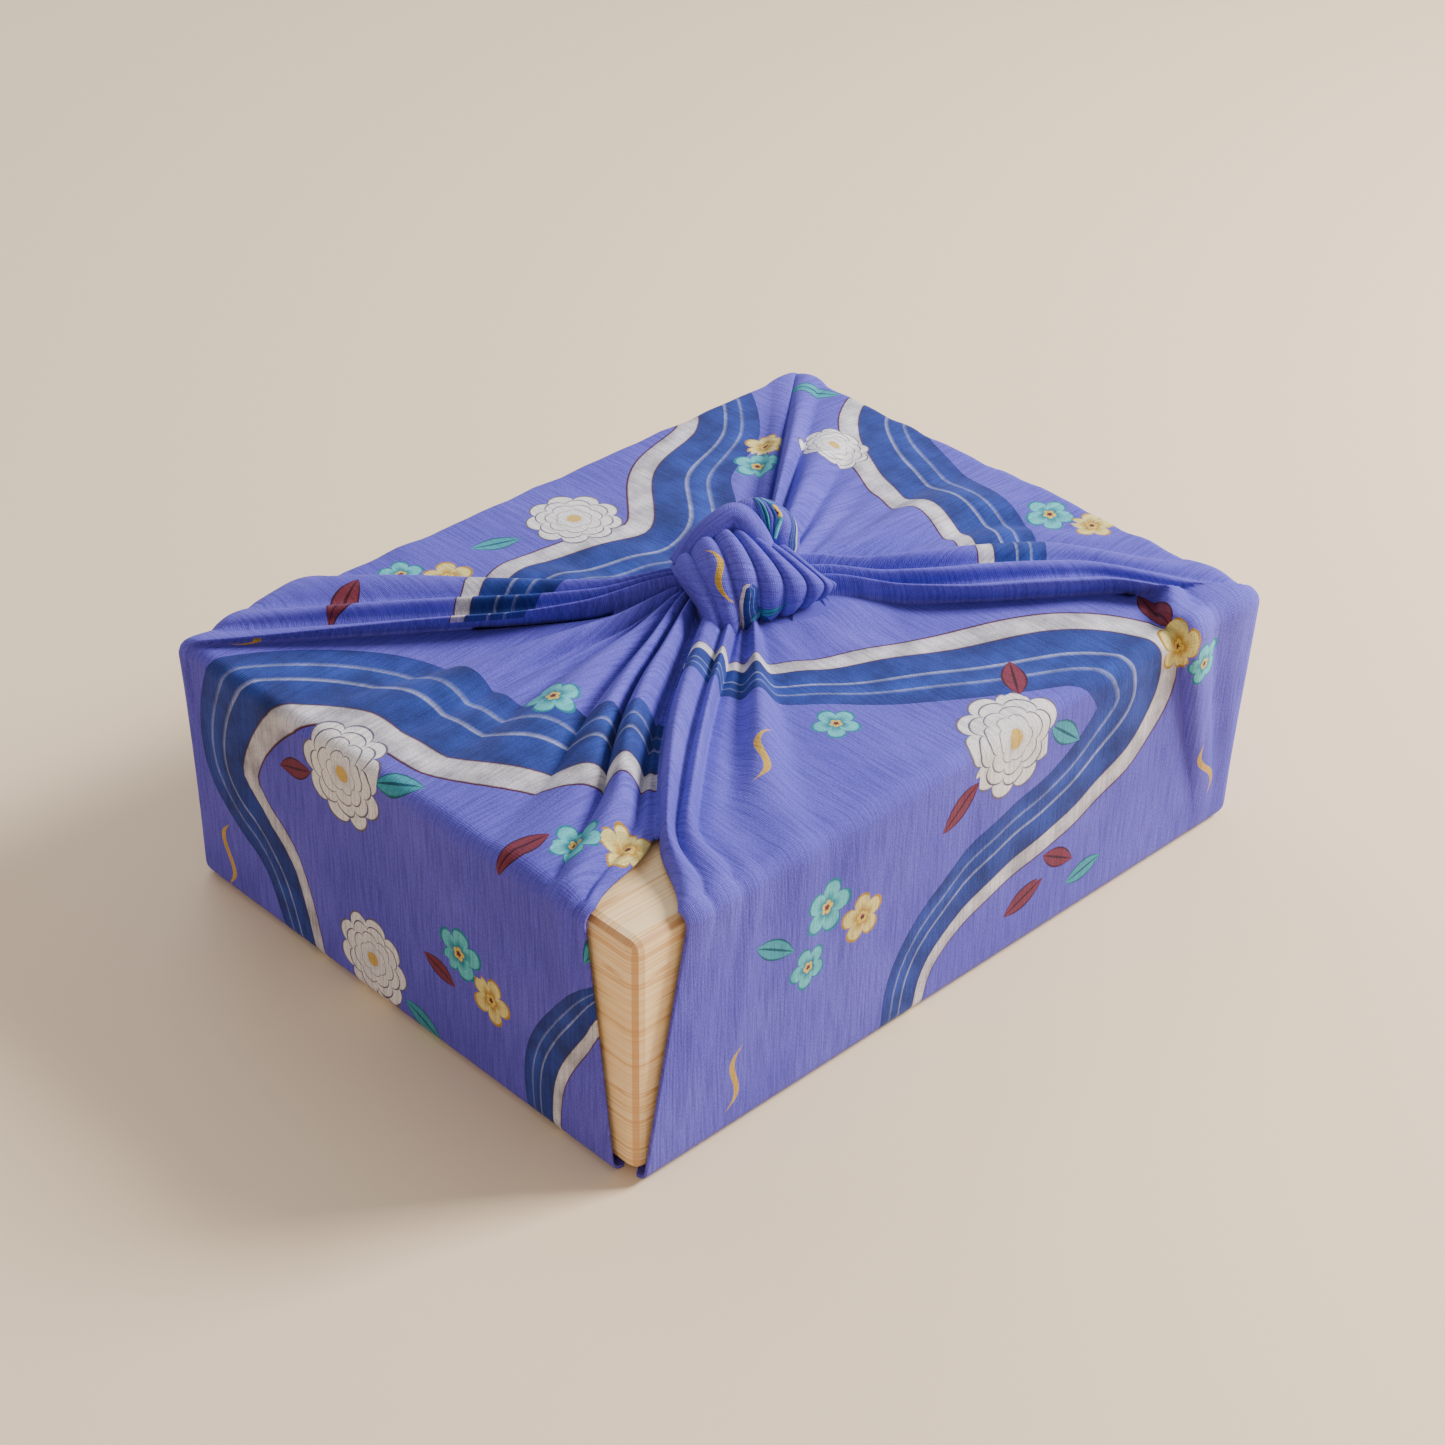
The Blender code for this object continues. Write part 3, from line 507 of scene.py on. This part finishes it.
def print_values(flap, flat):
    """The print at each face corner, from its flap and its flat place in mm.

    stream: distance to the side of the nearest stream over its half width,
    distance along it in mm, and its half width. bloom: the place in the
    nearest motif, turned, over the motif's radius, and the kind of motif.
    """
    stream = np.full(flat.shape[:2] + (3,), 9.0)
    for number, ribbons in STREAMS.items():
        here = flap == number
        place = flat[here]
        best = np.full(place.shape[:2], 9.0)
        value = stream[here]
        for ribbon in ribbons:
            line = curve_through(ribbon, 10)
            step = line[1:, :2] - line[:-1, :2]
            length = np.linalg.norm(step, axis=1)
            travelled = np.concatenate([[0.0], np.cumsum(length)])
            for k in range(len(step)):
                offset = place - line[k, :2]
                t = np.clip(offset @ step[k] / length[k] ** 2, 0.0, 1.0)
                away = offset - t[..., None] * step[k]
                half = line[k, 2] + (line[k + 1, 2] - line[k, 2]) * t
                ratio = np.linalg.norm(away, axis=-1) / half
                side = np.sign(step[k, 0] * offset[..., 1] - step[k, 1] * offset[..., 0])
                nearer = ratio < best
                best = np.where(nearer, ratio, best)
                found = np.stack([side * ratio, travelled[k] + t * length[k], half], -1)
                value = np.where(nearer[..., None], found, value)
        value[np.ptp(value[..., 0], axis=-1) > 1.1] = 9.0
        stream[here] = value
    bloom = np.full(flat.shape[:2] + (2,), 9.0)
    kind = np.zeros(flat.shape[:2])
    nearest = np.full(len(flat), 1.7)
    middle = flat.mean(axis=1)
    for number, across, up, radius, turn, sort in MOTIFS:
        reach = np.linalg.norm(middle - (across, up), axis=1) / radius
        mine = (flap == number) & (reach < nearest)
        nearest = np.where(mine, reach, nearest)
        angle = math.radians(turn)
        local = (flat[mine] - (across, up)) / radius
        x = local[..., 0] * math.cos(angle) + local[..., 1] * math.sin(angle)
        y = local[..., 1] * math.cos(angle) - local[..., 0] * math.sin(angle)
        bloom[mine] = np.stack([x, y], -1)
        kind[mine] = sort
    return stream, bloom, kind


def petal_reach(tree, distance, angle, count, size, depth, turn):
    """How far out a place is, as a share of the edge of a ring of petals.

    The edge is as far out as size at the tip of a petal, and falls by the
    share depth to the notches, as the root of a cosine without its sign does.
    """
    swing = add(tree, "ShaderNodeMath", {0: angle, 1: count / 2, 2: turn}, operation="MULTIPLY_ADD")
    wave = add(tree, "ShaderNodeMath", {0: swing.outputs[0]}, operation="COSINE")
    lobe = add(tree, "ShaderNodeMath", {0: wave.outputs[0]}, operation="ABSOLUTE")
    full = add(tree, "ShaderNodeMath", {0: lobe.outputs[0], 1: 0.5}, operation="POWER")
    edge = add(tree, "ShaderNodeMath", {0: full.outputs[0], 1: depth * size, 2: (1 - depth) * size},
               operation="MULTIPLY_ADD")
    return add(tree, "ShaderNodeMath", {0: distance, 1: edge.outputs[0]},
               operation="DIVIDE").outputs[0]


def crepe_cotton():
    """Slubbed crepe cotton, printed: matt and slightly fuzzy, with thicker threads here and there.

    The threads are about 0.25 mm apart, and are drawn twice as coarse to show.
    """
    material, tree, shader = bare("printed crepe cotton")
    thread = 0.0008
    wave_scale = 3.0 / (2 * math.pi)
    flat = add(tree, "ShaderNodeUVMap", uv_map="flat").outputs["UV"]

    # Ground: violet, lighter along the slubs, a little uneven from the dye.
    slubs = add(tree, "ShaderNodeMapping", {"Vector": flat, "Scale": (1 / 0.0008, 1 / 0.018, 1.0)})
    slub = add(tree, "ShaderNodeTexNoise", {"Vector": slubs.outputs[0], "Scale": 1.0, "Detail": 2.0})
    picks = add(tree, "ShaderNodeMapping", {"Vector": flat, "Scale": (1 / 0.022, 1 / 0.0011, 1.0)})
    pick = add(tree, "ShaderNodeTexNoise", {"Vector": picks.outputs[0], "Scale": 1.0, "Detail": 2.0})
    dye = add(tree, "ShaderNodeTexNoise", {"Vector": flat, "Scale": 18.0, "Detail": 3.0})
    ground = set_stops(add(tree, "ShaderNodeValToRGB", {0: dye.outputs["Fac"]}), [
        (0.3, "#5b52c6"), (0.5, "#635ad0"), (0.7, "#6d64da")])
    raised = set_stops(add(tree, "ShaderNodeValToRGB", {0: slub.outputs["Fac"]}), [
        (0.58, "#000000"), (0.74, "#4a4a4a")])
    ground = add(tree, "ShaderNodeMix", {0: raised, 6: ground, 7: linear("#a09af0")},
                 data_type="RGBA").outputs[2]
    crossing = set_stops(add(tree, "ShaderNodeValToRGB", {0: pick.outputs["Fac"]}), [
        (0.64, "#000000"), (0.74, "#404040")])
    ground = add(tree, "ShaderNodeMix", {0: crossing, 6: ground, 7: linear("#9891ee")},
                 data_type="RGBA").outputs[2]

    # Streams: royal blue with pale current lines, and a cream bank.
    stream = add(tree, "ShaderNodeAttribute", attribute_name="stream")
    parts = add(tree, "ShaderNodeSeparateXYZ", {0: stream.outputs["Vector"]})
    over = add(tree, "ShaderNodeMath", {0: parts.outputs["X"], 1: 1 / 2.4, 2: 0.5},
               operation="MULTIPLY_ADD")
    band = set_stops(add(tree, "ShaderNodeValToRGB", {0: over.outputs[0]}), [
        (0.0, "#2b2f66"), (0.104, "#2c3f9c"), (0.24, "#3048ab"), (0.275, "#8e98d8"),
        (0.285, "#3350b4"), (0.41, "#2b429f"), (0.445, "#a6aee0"), (0.455, "#2e47a8"),
        (0.70, "#2a3f96"), (0.712, "#5b2531"), (0.724, "#e6e2ea"), (0.80, "#efecf1"),
        (0.895, "#d9d3e0"), (0.905, "#5b2531")])
    stain = add(tree, "ShaderNodeTexNoise", {"Vector": flat, "Scale": 90.0, "Detail": 4.0})
    depth = set_stops(add(tree, "ShaderNodeValToRGB", {0: stain.outputs["Fac"]}), [
        (0.35, "#c4c4c4"), (0.65, "#ffffff")])
    band = add(tree, "ShaderNodeMix", {0: 1.0, 6: band, 7: depth}, data_type="RGBA",
               blend_type="MULTIPLY").outputs[2]
    width = add(tree, "ShaderNodeMath", {0: parts.outputs["X"]}, operation="ABSOLUTE")
    inside = add(tree, "ShaderNodeMath", {0: width.outputs[0], 1: 1.0}, operation="LESS_THAN")
    cloth_colour = add(tree, "ShaderNodeMix", {0: inside.outputs[0], 6: ground, 7: band},
                       data_type="RGBA").outputs[2]

    # Blossoms, leaves and gold sprigs, from the place in the nearest motif.
    bloom = add(tree, "ShaderNodeAttribute", attribute_name="bloom").outputs["Vector"]
    kind = add(tree, "ShaderNodeAttribute", attribute_name="kind").outputs["Fac"]
    place = add(tree, "ShaderNodeSeparateXYZ", {0: bloom})
    x, y = place.outputs["X"], place.outputs["Y"]
    distance = add(tree, "ShaderNodeVectorMath", {0: bloom}, operation="LENGTH").outputs["Value"]
    angle = add(tree, "ShaderNodeMath", {0: y, 1: x}, operation="ARCTAN2").outputs[0]
    is_kind = {
        number: add(tree, "ShaderNodeMath", {0: kind, 1: float(number), 2: 0.1},
                    operation="COMPARE").outputs[0]
        for number in (PEONY, CYAN, YELLOW, TEAL_LEAF, MAROON_LEAF, SPRIG)}
    for size, count, turn in ((1.0, 9, 0.0), (0.80, 8, 0.9), (0.60, 7, 0.3), (0.38, 6, 1.2)):
        reach = petal_reach(tree, distance, angle, count, size, 0.22, turn)
        petal = set_stops(add(tree, "ShaderNodeValToRGB", {0: reach}), [
            (0.3, "#c9c4cf"), (0.6, "#ece9ea"), (0.9, "#f7f5f1"),
            (0.95, "#f0ecec"), (0.965, "#6c6279")])
        covers = add(tree, "ShaderNodeMath", {0: reach, 1: 1.0}, operation="LESS_THAN")
        mask = add(tree, "ShaderNodeMath", {0: covers.outputs[0], 1: is_kind[PEONY]},
                   operation="MULTIPLY")
        cloth_colour = add(tree, "ShaderNodeMix", {0: mask.outputs[0], 6: cloth_colour, 7: petal},
                           data_type="RGBA").outputs[2]
    heart = add(tree, "ShaderNodeMath", {0: distance, 1: 0.15}, operation="LESS_THAN")
    mask = add(tree, "ShaderNodeMath", {0: heart.outputs[0], 1: is_kind[PEONY]}, operation="MULTIPLY")
    cloth_colour = add(tree, "ShaderNodeMix", {0: mask.outputs[0], 6: cloth_colour, 7: linear("#dcb65a")},
                       data_type="RGBA").outputs[2]
    reach = petal_reach(tree, distance, angle, 5, 1.0, 0.48, 0.0)
    covers = add(tree, "ShaderNodeMath", {0: reach, 1: 1.0}, operation="LESS_THAN")
    for number, dark, light in ((CYAN, "#1f7f96", "#63c9cf"), (YELLOW, "#b98a2c", "#ecdb86")):
        petal = set_stops(add(tree, "ShaderNodeValToRGB", {0: reach}), [
            (0.10, "#6b2a33"), (0.14, "#e7c65c"), (0.24, "#e7c65c"),
            (0.28, dark), (0.6, light), (0.86, light), (0.92, dark)])
        mask = add(tree, "ShaderNodeMath", {0: covers.outputs[0], 1: is_kind[number]},
                   operation="MULTIPLY")
        cloth_colour = add(tree, "ShaderNodeMix", {0: mask.outputs[0], 6: cloth_colour, 7: petal},
                           data_type="RGBA").outputs[2]
    square = add(tree, "ShaderNodeMath", {0: x, 1: x}, operation="MULTIPLY")
    belly = add(tree, "ShaderNodeMath", {0: square.outputs[0], 1: -0.42, 2: 0.4205},
                operation="MULTIPLY_ADD")
    off = add(tree, "ShaderNodeMath", {0: y}, operation="ABSOLUTE")
    leaf = add(tree, "ShaderNodeMath", {0: off.outputs[0], 1: belly.outputs[0]}, operation="DIVIDE")
    below = add(tree, "ShaderNodeMath", {0: leaf.outputs[0], 1: 1.0}, operation="LESS_THAN")
    within = add(tree, "ShaderNodeMath", {0: square.outputs[0], 1: 1.0}, operation="LESS_THAN")
    covers = add(tree, "ShaderNodeMath", {0: below.outputs[0], 1: within.outputs[0]},
                 operation="MULTIPLY")
    for number, dark, light in ((TEAL_LEAF, "#14586a", "#3f9fae"), (MAROON_LEAF, "#43141f", "#7c2f3f")):
        blade = set_stops(add(tree, "ShaderNodeValToRGB", {0: leaf.outputs[0]}), [
            (0.02, dark), (0.10, dark), (0.14, light), (0.75, light), (0.9, dark)])
        mask = add(tree, "ShaderNodeMath", {0: covers.outputs[0], 1: is_kind[number]},
                   operation="MULTIPLY")
        cloth_colour = add(tree, "ShaderNodeMix", {0: mask.outputs[0], 6: cloth_colour, 7: blade},
                           data_type="RGBA").outputs[2]
    sway = add(tree, "ShaderNodeMath", {0: x, 1: 3.0}, operation="MULTIPLY")
    sway = add(tree, "ShaderNodeMath", {0: sway.outputs[0]}, operation="SINE")
    lift = add(tree, "ShaderNodeMath", {0: sway.outputs[0], 1: -0.25, 2: y}, operation="MULTIPLY_ADD")
    off = add(tree, "ShaderNodeMath", {0: lift.outputs[0]}, operation="ABSOLUTE")
    stem = add(tree, "ShaderNodeMath", {0: square.outputs[0], 1: -0.11, 2: 0.11},
               operation="MULTIPLY_ADD")
    thin = add(tree, "ShaderNodeMath", {0: off.outputs[0], 1: stem.outputs[0]}, operation="LESS_THAN")
    mask = add(tree, "ShaderNodeMath", {0: thin.outputs[0], 1: is_kind[SPRIG]}, operation="MULTIPLY")
    cloth_colour = add(tree, "ShaderNodeMix", {0: mask.outputs[0], 6: cloth_colour, 7: linear("#d3aa45")},
                       data_type="RGBA").outputs[2]

    # Weave: crossed threads, a crepe grain and the slubs, as relief and as faint shade.
    weave = add(tree, "ShaderNodeMapping", {"Vector": flat, "Scale": (1 / thread, 1 / thread, 1.0)})
    grain = add(tree, "ShaderNodeTexNoise", {"Vector": weave.outputs[0], "Scale": 1.1, "Detail": 2.0,
                                             "Distortion": 0.6})
    warp = add(tree, "ShaderNodeTexWave", {"Vector": weave.outputs[0], "Scale": wave_scale,
                                           "Distortion": 1.6, "Detail": 1.0, "Detail Scale": 1.5},
               bands_direction="X")
    weft = add(tree, "ShaderNodeTexWave", {"Vector": weave.outputs[0], "Scale": wave_scale,
                                           "Distortion": 1.6, "Detail": 1.0, "Detail Scale": 1.5},
               bands_direction="Y")
    cross = add(tree, "ShaderNodeMath", {0: warp.outputs["Fac"], 1: weft.outputs["Fac"]},
                operation="MULTIPLY")
    rough = add(tree, "ShaderNodeMath", {0: cross.outputs[0], 1: 0.5, 2: grain.outputs["Fac"]},
                operation="MULTIPLY_ADD")
    height = add(tree, "ShaderNodeMath", {0: slub.outputs["Fac"], 1: 0.5, 2: rough.outputs[0]},
                 operation="MULTIPLY_ADD")
    shade = set_stops(add(tree, "ShaderNodeValToRGB", {0: rough.outputs[0]}), [
        (0.35, "#d2d2d2"), (0.9, "#ffffff")])
    rib = set_stops(add(tree, "ShaderNodeValToRGB", {0: slub.outputs["Fac"]}), [
        (0.36, "#d4d4dc"), (0.56, "#ffffff")])
    shade = add(tree, "ShaderNodeMix", {0: 0.8, 6: shade, 7: rib}, data_type="RGBA",
                blend_type="MULTIPLY").outputs[2]
    cloth_colour = add(tree, "ShaderNodeMix", {0: 1.0, 6: cloth_colour, 7: shade}, data_type="RGBA",
                       blend_type="MULTIPLY").outputs[2]
    tree.links.new(cloth_colour, shader.inputs["Base Color"])
    relief = add(tree, "ShaderNodeBump", {"Height": height.outputs[0], "Strength": 0.5,
                                          "Distance": 0.0004})
    tree.links.new(relief.outputs[0], shader.inputs["Normal"])
    shader.inputs["Roughness"].default_value = 0.82
    shader.inputs["Sheen Weight"].default_value = 0.12
    shader.inputs["Sheen Roughness"].default_value = 0.45
    shader.inputs["Sheen Tint"].default_value = linear("#b4b0f4")
    shader.inputs["Specular IOR Level"].default_value = 0.25
    return material


crepe = crepe_cotton()
lines, base, layers = lay_cloth()
row_count, column_count = base.shape[:2]
last_strip = lines["strip"].max()
open_strip = lines["strip"] == last_strip
window_rows = (STATIONS[:-1] >= WINDOW_START) & (STATIONS[:-1] < WINDOW_END)
skip = window_rows[:, None] & open_strip[None, :]
layer_size = row_count * column_count
outer = grid_faces(row_count, column_count, 0, skip)
inner = grid_faces(row_count, column_count, layer_size, skip)[:, ::-1]
first_row = int(np.argmax(window_rows))
last_row = int(row_count - 2 - np.argmax(window_rows[::-1])) + 1
first_column = int(np.argmax(open_strip))
rim = [(row, first_column) for row in range(first_row, last_row + 1)]
rim += [(last_row, column) for column in range(first_column + 1, column_count + 1)]
rim += [(row, 0) for row in range(last_row - 1, first_row - 1, -1)]
rim += [(first_row, column) for column in range(column_count - 1, first_column, -1)]
edge = [row * column_count + column % column_count for row, column in rim]
faces = outer.tolist() + inner.tolist()
for here, there in zip(edge, edge[1:] + edge[:1]):
    faces.append([here, there, there + layer_size, here + layer_size])
for layer in (0, 1):
    crown = [layer * layer_size + column for column in range(column_count)]
    sole = [layer * layer_size + (row_count - 1) * column_count + column for column in range(column_count)]
    faces.append(crown if layer == 0 else crown[::-1])
    faces.append(sole[::-1] if layer == 0 else sole)
points = np.concatenate([layer.reshape(-1, 3) for layer in layers])
cloth = make_piece("furoshiki", points, faces, crepe)


def flat_place(flap, point):
    """Place on the flap laid flat, in mm: along its side, and up it and then inwards over the top."""
    x, y, z = np.moveaxis(point * 1000, -1, 0)
    half = np.array([LENGTH, WIDTH]) * 500
    along = np.choose(flap[:, None], [x, y, -x, -y])
    inward = np.choose(flap[:, None], [y + half[1], half[0] - x, half[1] - y, x + half[0]])
    return np.stack([along, z + np.maximum(inward, 0.0)], -1)


def dress(piece, flap, flat):
    """Gives the corners of a mesh's leading quads their flat place in metres, and the print there.

    The flat place is a UV map. The corners of the faces after the quads stay plain.
    """
    mesh = piece.data
    stream, bloom, kind = print_values(flap, flat)
    bloom = np.concatenate([bloom, np.zeros(bloom.shape[:-1] + (1,))], -1)
    spare = len(mesh.loops) - flat.shape[0] * 4

    def fill(layer, field, value, width, rest):
        """Writes the quads' values to a layer, and the resting value to the other corners."""
        whole = np.concatenate([value.reshape(-1, width), np.full((spare, width), rest)])
        layer.data.foreach_set(field, whole.astype(np.float32).ravel())

    fill(mesh.uv_layers.new(name="flat"), "uv", flat / 1000, 2, 0.0)
    fill(mesh.attributes.new("stream", "FLOAT_VECTOR", "CORNER"), "vector", stream, 3, 9.0)
    fill(mesh.attributes.new("bloom", "FLOAT_VECTOR", "CORNER"), "vector", bloom, 3, 9.0)
    fill(mesh.attributes.new("kind", "FLOAT", "CORNER"), "value", kind, 1, 0.0)


quads = np.array(faces[:len(outer) + len(inner) + len(edge)])
flap = np.floor(np.mod(lines["foot"] + 1e-6, 4.0)).astype(int)[quads[:, 0] % column_count]
base_points = np.tile(base.reshape(-1, 3), (2, 1))
dress(cloth, flap, flat_place(flap, base_points[quads]))
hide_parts("cloth")
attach(cloth, "root")

# Knot.
# Two opposite corners of the same cloth, tied in a flat knot: one wraps over
# the front in a fan of pleats, and the other crosses behind its top.
KNOT_LIFT = 0.0130
KNOT_TILT = math.radians(35)

# The wrap's crests from left to right, between its two ends, in mm. Each runs
# round the knot, and is given at its top, its front and its lower front.
# top, front, below: how far along the knot it lies there
# top_radius, front_radius, below_radius: how far it stands from the middle
# depth: how deep the valley beside it is
WRAP_COLUMNS = ("top", "front", "below", "top_radius", "front_radius", "below_radius", "depth")
WRAP_CRESTS = (
    (-28.5, -27.0, -17.0, 3.0, 5.0, 16.0, 0.0),
    (-26.5, -23.0, -12.5, 7.0, 11.0, 24.5, 2.0),
    (-20.0, -13.0, -6.5, 13.5, 17.0, 22.5, 3.2),
    (-13.0, -3.5, -1.5, 17.0, 18.5, 18.5, 3.0),
    (-9.0, 5.0, 5.5, 17.3, 17.5, 14.5, 3.0),
    (-5.5, 13.0, 12.5, 16.5, 14.5, 11.5, 2.8),
    (0.0, 20.0, 18.5, 14.5, 10.5, 8.0, 2.4),
    (8.0, 24.0, 23.0, 12.0, 6.0, 5.0, 1.2),
    (16.0, 26.0, 25.0, 3.0, 3.0, 3.0, 0.0),
)

# Angles round the knot of below, front, top and back, in degrees from the front,
# and how far the back stands in from the mean of the top and the lower front.
WRAP_ANGLES = (-52.0, 0.0, 80.0, 180.0)
BACK_NARROWING = 0.8
WRAP_MM_PER_DEGREE = 0.28

# Cords of rolled cloth behind the wrap: right, rise, front and radius in mm.
SASH = ((-26, 4, 1, 3.4), (-21, 10, 2, 4.2), (-14.5, 16, 3, 4.6), (-8.5, 20.0, 3.5, 4.6),
        (-4.5, 18.5, 4, 4.4), (-0.5, 13.5, 5, 4.2), (2.5, 8, 5, 4))
ROLL = ((-12, 8, -9, 5), (-9, 15, -6, 5.6), (-4, 20.5, -3, 6), (1.5, 20.5, -2, 6.2),
        (6, 17.5, -2, 6.2), (7.5, 12, -3, 6), (8, 4, -6, 5))

# The folded hem that shows behind the knot, as thin cords side by side: where
# the first one runs, how far right of it the next is, rise and front, in mm.
HEM = ((-2.0, 0.6, 26.0, 0.0), (-0.4, 1.12, 24.0, 2.8), (1.0, 1.4, 20.5, 4.0),
       (2.2, 0.9, 17.0, 4.0), (3.4, 0.4, 13.5, 3.0))
HEM_COUNT = 5
HEM_RADIUS = 0.9


def knot_space(right, rise, front):
    """World points from the knot's own leaning axes, in metres."""
    along = np.array([math.cos(KNOT_AXIS), math.sin(KNOT_AXIS), -0.02])
    along /= np.linalg.norm(along)
    across = np.array([-math.sin(KNOT_AXIS), math.cos(KNOT_AXIS), 0.0])
    upward = np.cross(along, across)
    lifted = upward * math.cos(KNOT_TILT) + across * math.sin(KNOT_TILT)
    forward = upward * math.sin(KNOT_TILT) - across * math.cos(KNOT_TILT)
    middle = np.array([*KNOT, HEIGHT + KNOT_LIFT])
    place = middle + right[..., None] * along + rise[..., None] * lifted + front[..., None] * forward
    place[..., 2] = np.maximum(place[..., 2], HEIGHT - 0.0005)
    return place


def barrel_faces(steps, sides):
    """Quads of a closed tube of rings, and its two end caps."""
    i, j = np.meshgrid(np.arange(steps - 1), np.arange(sides), indexing="ij")
    k = (j + 1) % sides
    quads = np.stack([i * sides + j, i * sides + k, (i + 1) * sides + k, (i + 1) * sides + j], -1)
    caps = [list(range(sides))[::-1], [(steps - 1) * sides + j for j in range(sides)]]
    return quads.reshape(-1, 4), caps


def make_roll(name, points, faces, caps, flap, along, start, pitch):
    """A piece from rings of points, printed as the given flap.

    Its flat place in mm: up is along at each ring, and across goes from start
    by the pitch of the ring for each column.
    """
    piece = make_piece(name, points.reshape(-1, 3), faces.tolist() + caps, crepe)
    steps, sides = points.shape[:2]
    row = faces // sides
    column = faces % sides
    column = np.where(column < column[:, :1] - 1, column + sides, column)
    flat = np.stack([start + column * pitch[row], along[row]], -1)
    dress(piece, np.full(len(faces), flap), flat)
    return piece


def make_wrap():
    """The fan of pleats.

    Along the knot, crests stand at whole steps with sharp valleys between
    them. The radius falls from a crest to its valley by the depth, as the root
    of a cosine without its sign does.
    """
    sides = 160
    samples = 16
    crests = np.array(WRAP_CRESTS)
    turn = np.linspace(180, -180, sides, endpoint=False)
    window = np.hanning(31)
    window /= window.sum()
    bands = []
    for column, narrowing in (("top", 1.0), ("top_radius", BACK_NARROWING)):
        first = WRAP_COLUMNS.index(column)
        top, front, below = crests[:, first:first + 3].T
        back = (top + below) / 2 * narrowing
        keys = np.stack([below, front, top, back], 1)
        curve = np.array([np.interp(turn, WRAP_ANGLES, row, period=360) for row in keys])
        padded = np.concatenate([curve[:, -15:], curve, curve[:, :15]], axis=1)
        curve = np.array([np.convolve(row, window, "valid") for row in padded])
        bands.append(curve_through(curve, samples))
    step = np.linspace(0, len(crests) - 1, len(bands[0]))
    depth = curve_through(crests[:, [WRAP_COLUMNS.index("depth")]], samples)[:, 0]
    dip = depth * (1 - np.abs(np.cos(math.pi * step)) ** 0.5)
    place, radius = bands
    angle = np.radians(turn)
    radius = (radius - dip[:, None]) / 1000
    points = knot_space(place / 1000, radius * np.sin(angle), radius * np.cos(angle))
    faces, caps = barrel_faces(len(step), sides)
    pitch = np.full(len(step), -360 / sides * WRAP_MM_PER_DEGREE)
    return make_roll("knot_wrap", points, faces, caps, 4, place.mean(axis=1),
                     180 * WRAP_MM_PER_DEGREE, pitch)


def make_cord(name, route, flap, sides=48, samples=10, spread=0.0):
    """A rolled tube of cloth through the points of its route."""
    line = curve_through(route, samples) / 1000
    centres = knot_space(*line[:, :3].T)
    heading = np.gradient(centres, axis=0)
    heading /= np.linalg.norm(heading, axis=1)[:, None]
    left = np.cross([0.0, 0.0, 1.0], heading)
    left /= np.linalg.norm(left, axis=1)[:, None]
    lift = np.cross(heading, left)
    turn = np.linspace(0, 2 * math.pi, sides, endpoint=False)
    ring = left[:, None] * np.cos(turn)[:, None] + lift[:, None] * np.sin(turn)[:, None]
    points = centres[:, None] + ring * line[:, 3][:, None, None]
    points[..., 2] = np.maximum(points[..., 2], HEIGHT - 0.0005)
    travel = np.concatenate([[0], np.cumsum(np.linalg.norm(np.diff(centres, axis=0), axis=1))]) * 1000
    faces, caps = barrel_faces(len(line), sides)
    pitch = line[:, 3] * 1000 * 2 * math.pi / sides
    return make_roll(name, points, faces, caps, flap, travel, spread, pitch)


knot_pieces = [make_wrap(), make_cord("knot_sash", SASH, 5), make_cord("knot_roll", ROLL, 6)]
for number in range(HEM_COUNT):
    hem = [(right + step * number, rise, front, HEM_RADIUS) for right, step, rise, front in HEM]
    knot_pieces.append(make_cord(f"knot_hem_{number + 1}", hem, 7, 16, 8, 20.0 * number))
for piece in knot_pieces:
    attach(piece, "root")

# Floor and light.
# A plain pale surface. A soft window lamp stands on the right, a broad lamp for
# the sky behind, and a weak warm one for the room on the left.
FLOOR_HALF = 3.0
FLOOR_GAP = 0.0002
pale, tree, shader = bare("pale matt board")
shader.inputs["Base Color"].default_value = linear("#eed6b3")
shader.inputs["Roughness"].default_value = 0.6
floor_corners = np.array([(-1, -1, 0), (1, -1, 0), (1, 1, 0), (-1, 1, 0)]) * FLOOR_HALF
ground = make_piece("floor", floor_corners, [[0, 1, 2, 3]], pale)
ground.location.z = -FLOOR_GAP

world = bpy.data.worlds.new("soft room")
world.use_nodes = True
world.node_tree.nodes["Background"].inputs["Color"].default_value = linear("#f2eeec")
world.node_tree.nodes["Background"].inputs["Strength"].default_value = 0.55
bpy.context.scene.world = world


def lamp(name, place, size, power, colour):
    """A square area lamp at a place, turned to the middle of the box."""
    light = bpy.data.lights.new(name, "AREA")
    light.size = size
    light.energy = power
    light.color = linear(colour)[:3]
    holder = bpy.data.objects.new(name, light)
    bpy.context.scene.collection.objects.link(holder)
    holder.location = place
    direction = holder.location.copy()
    direction.z -= HEIGHT / 2
    holder.rotation_euler = direction.to_track_quat("Z", "Y").to_euler()


lamp("window", (1.05, -0.62, 0.92), 0.5, 48.0, "#fffdfa")
lamp("sky", (0.35, 1.15, 1.2), 1.2, 9.0, "#eef2ff")
lamp("room", (-1.1, -0.6, 0.5), 1.2, 4.0, "#ffdcc0")
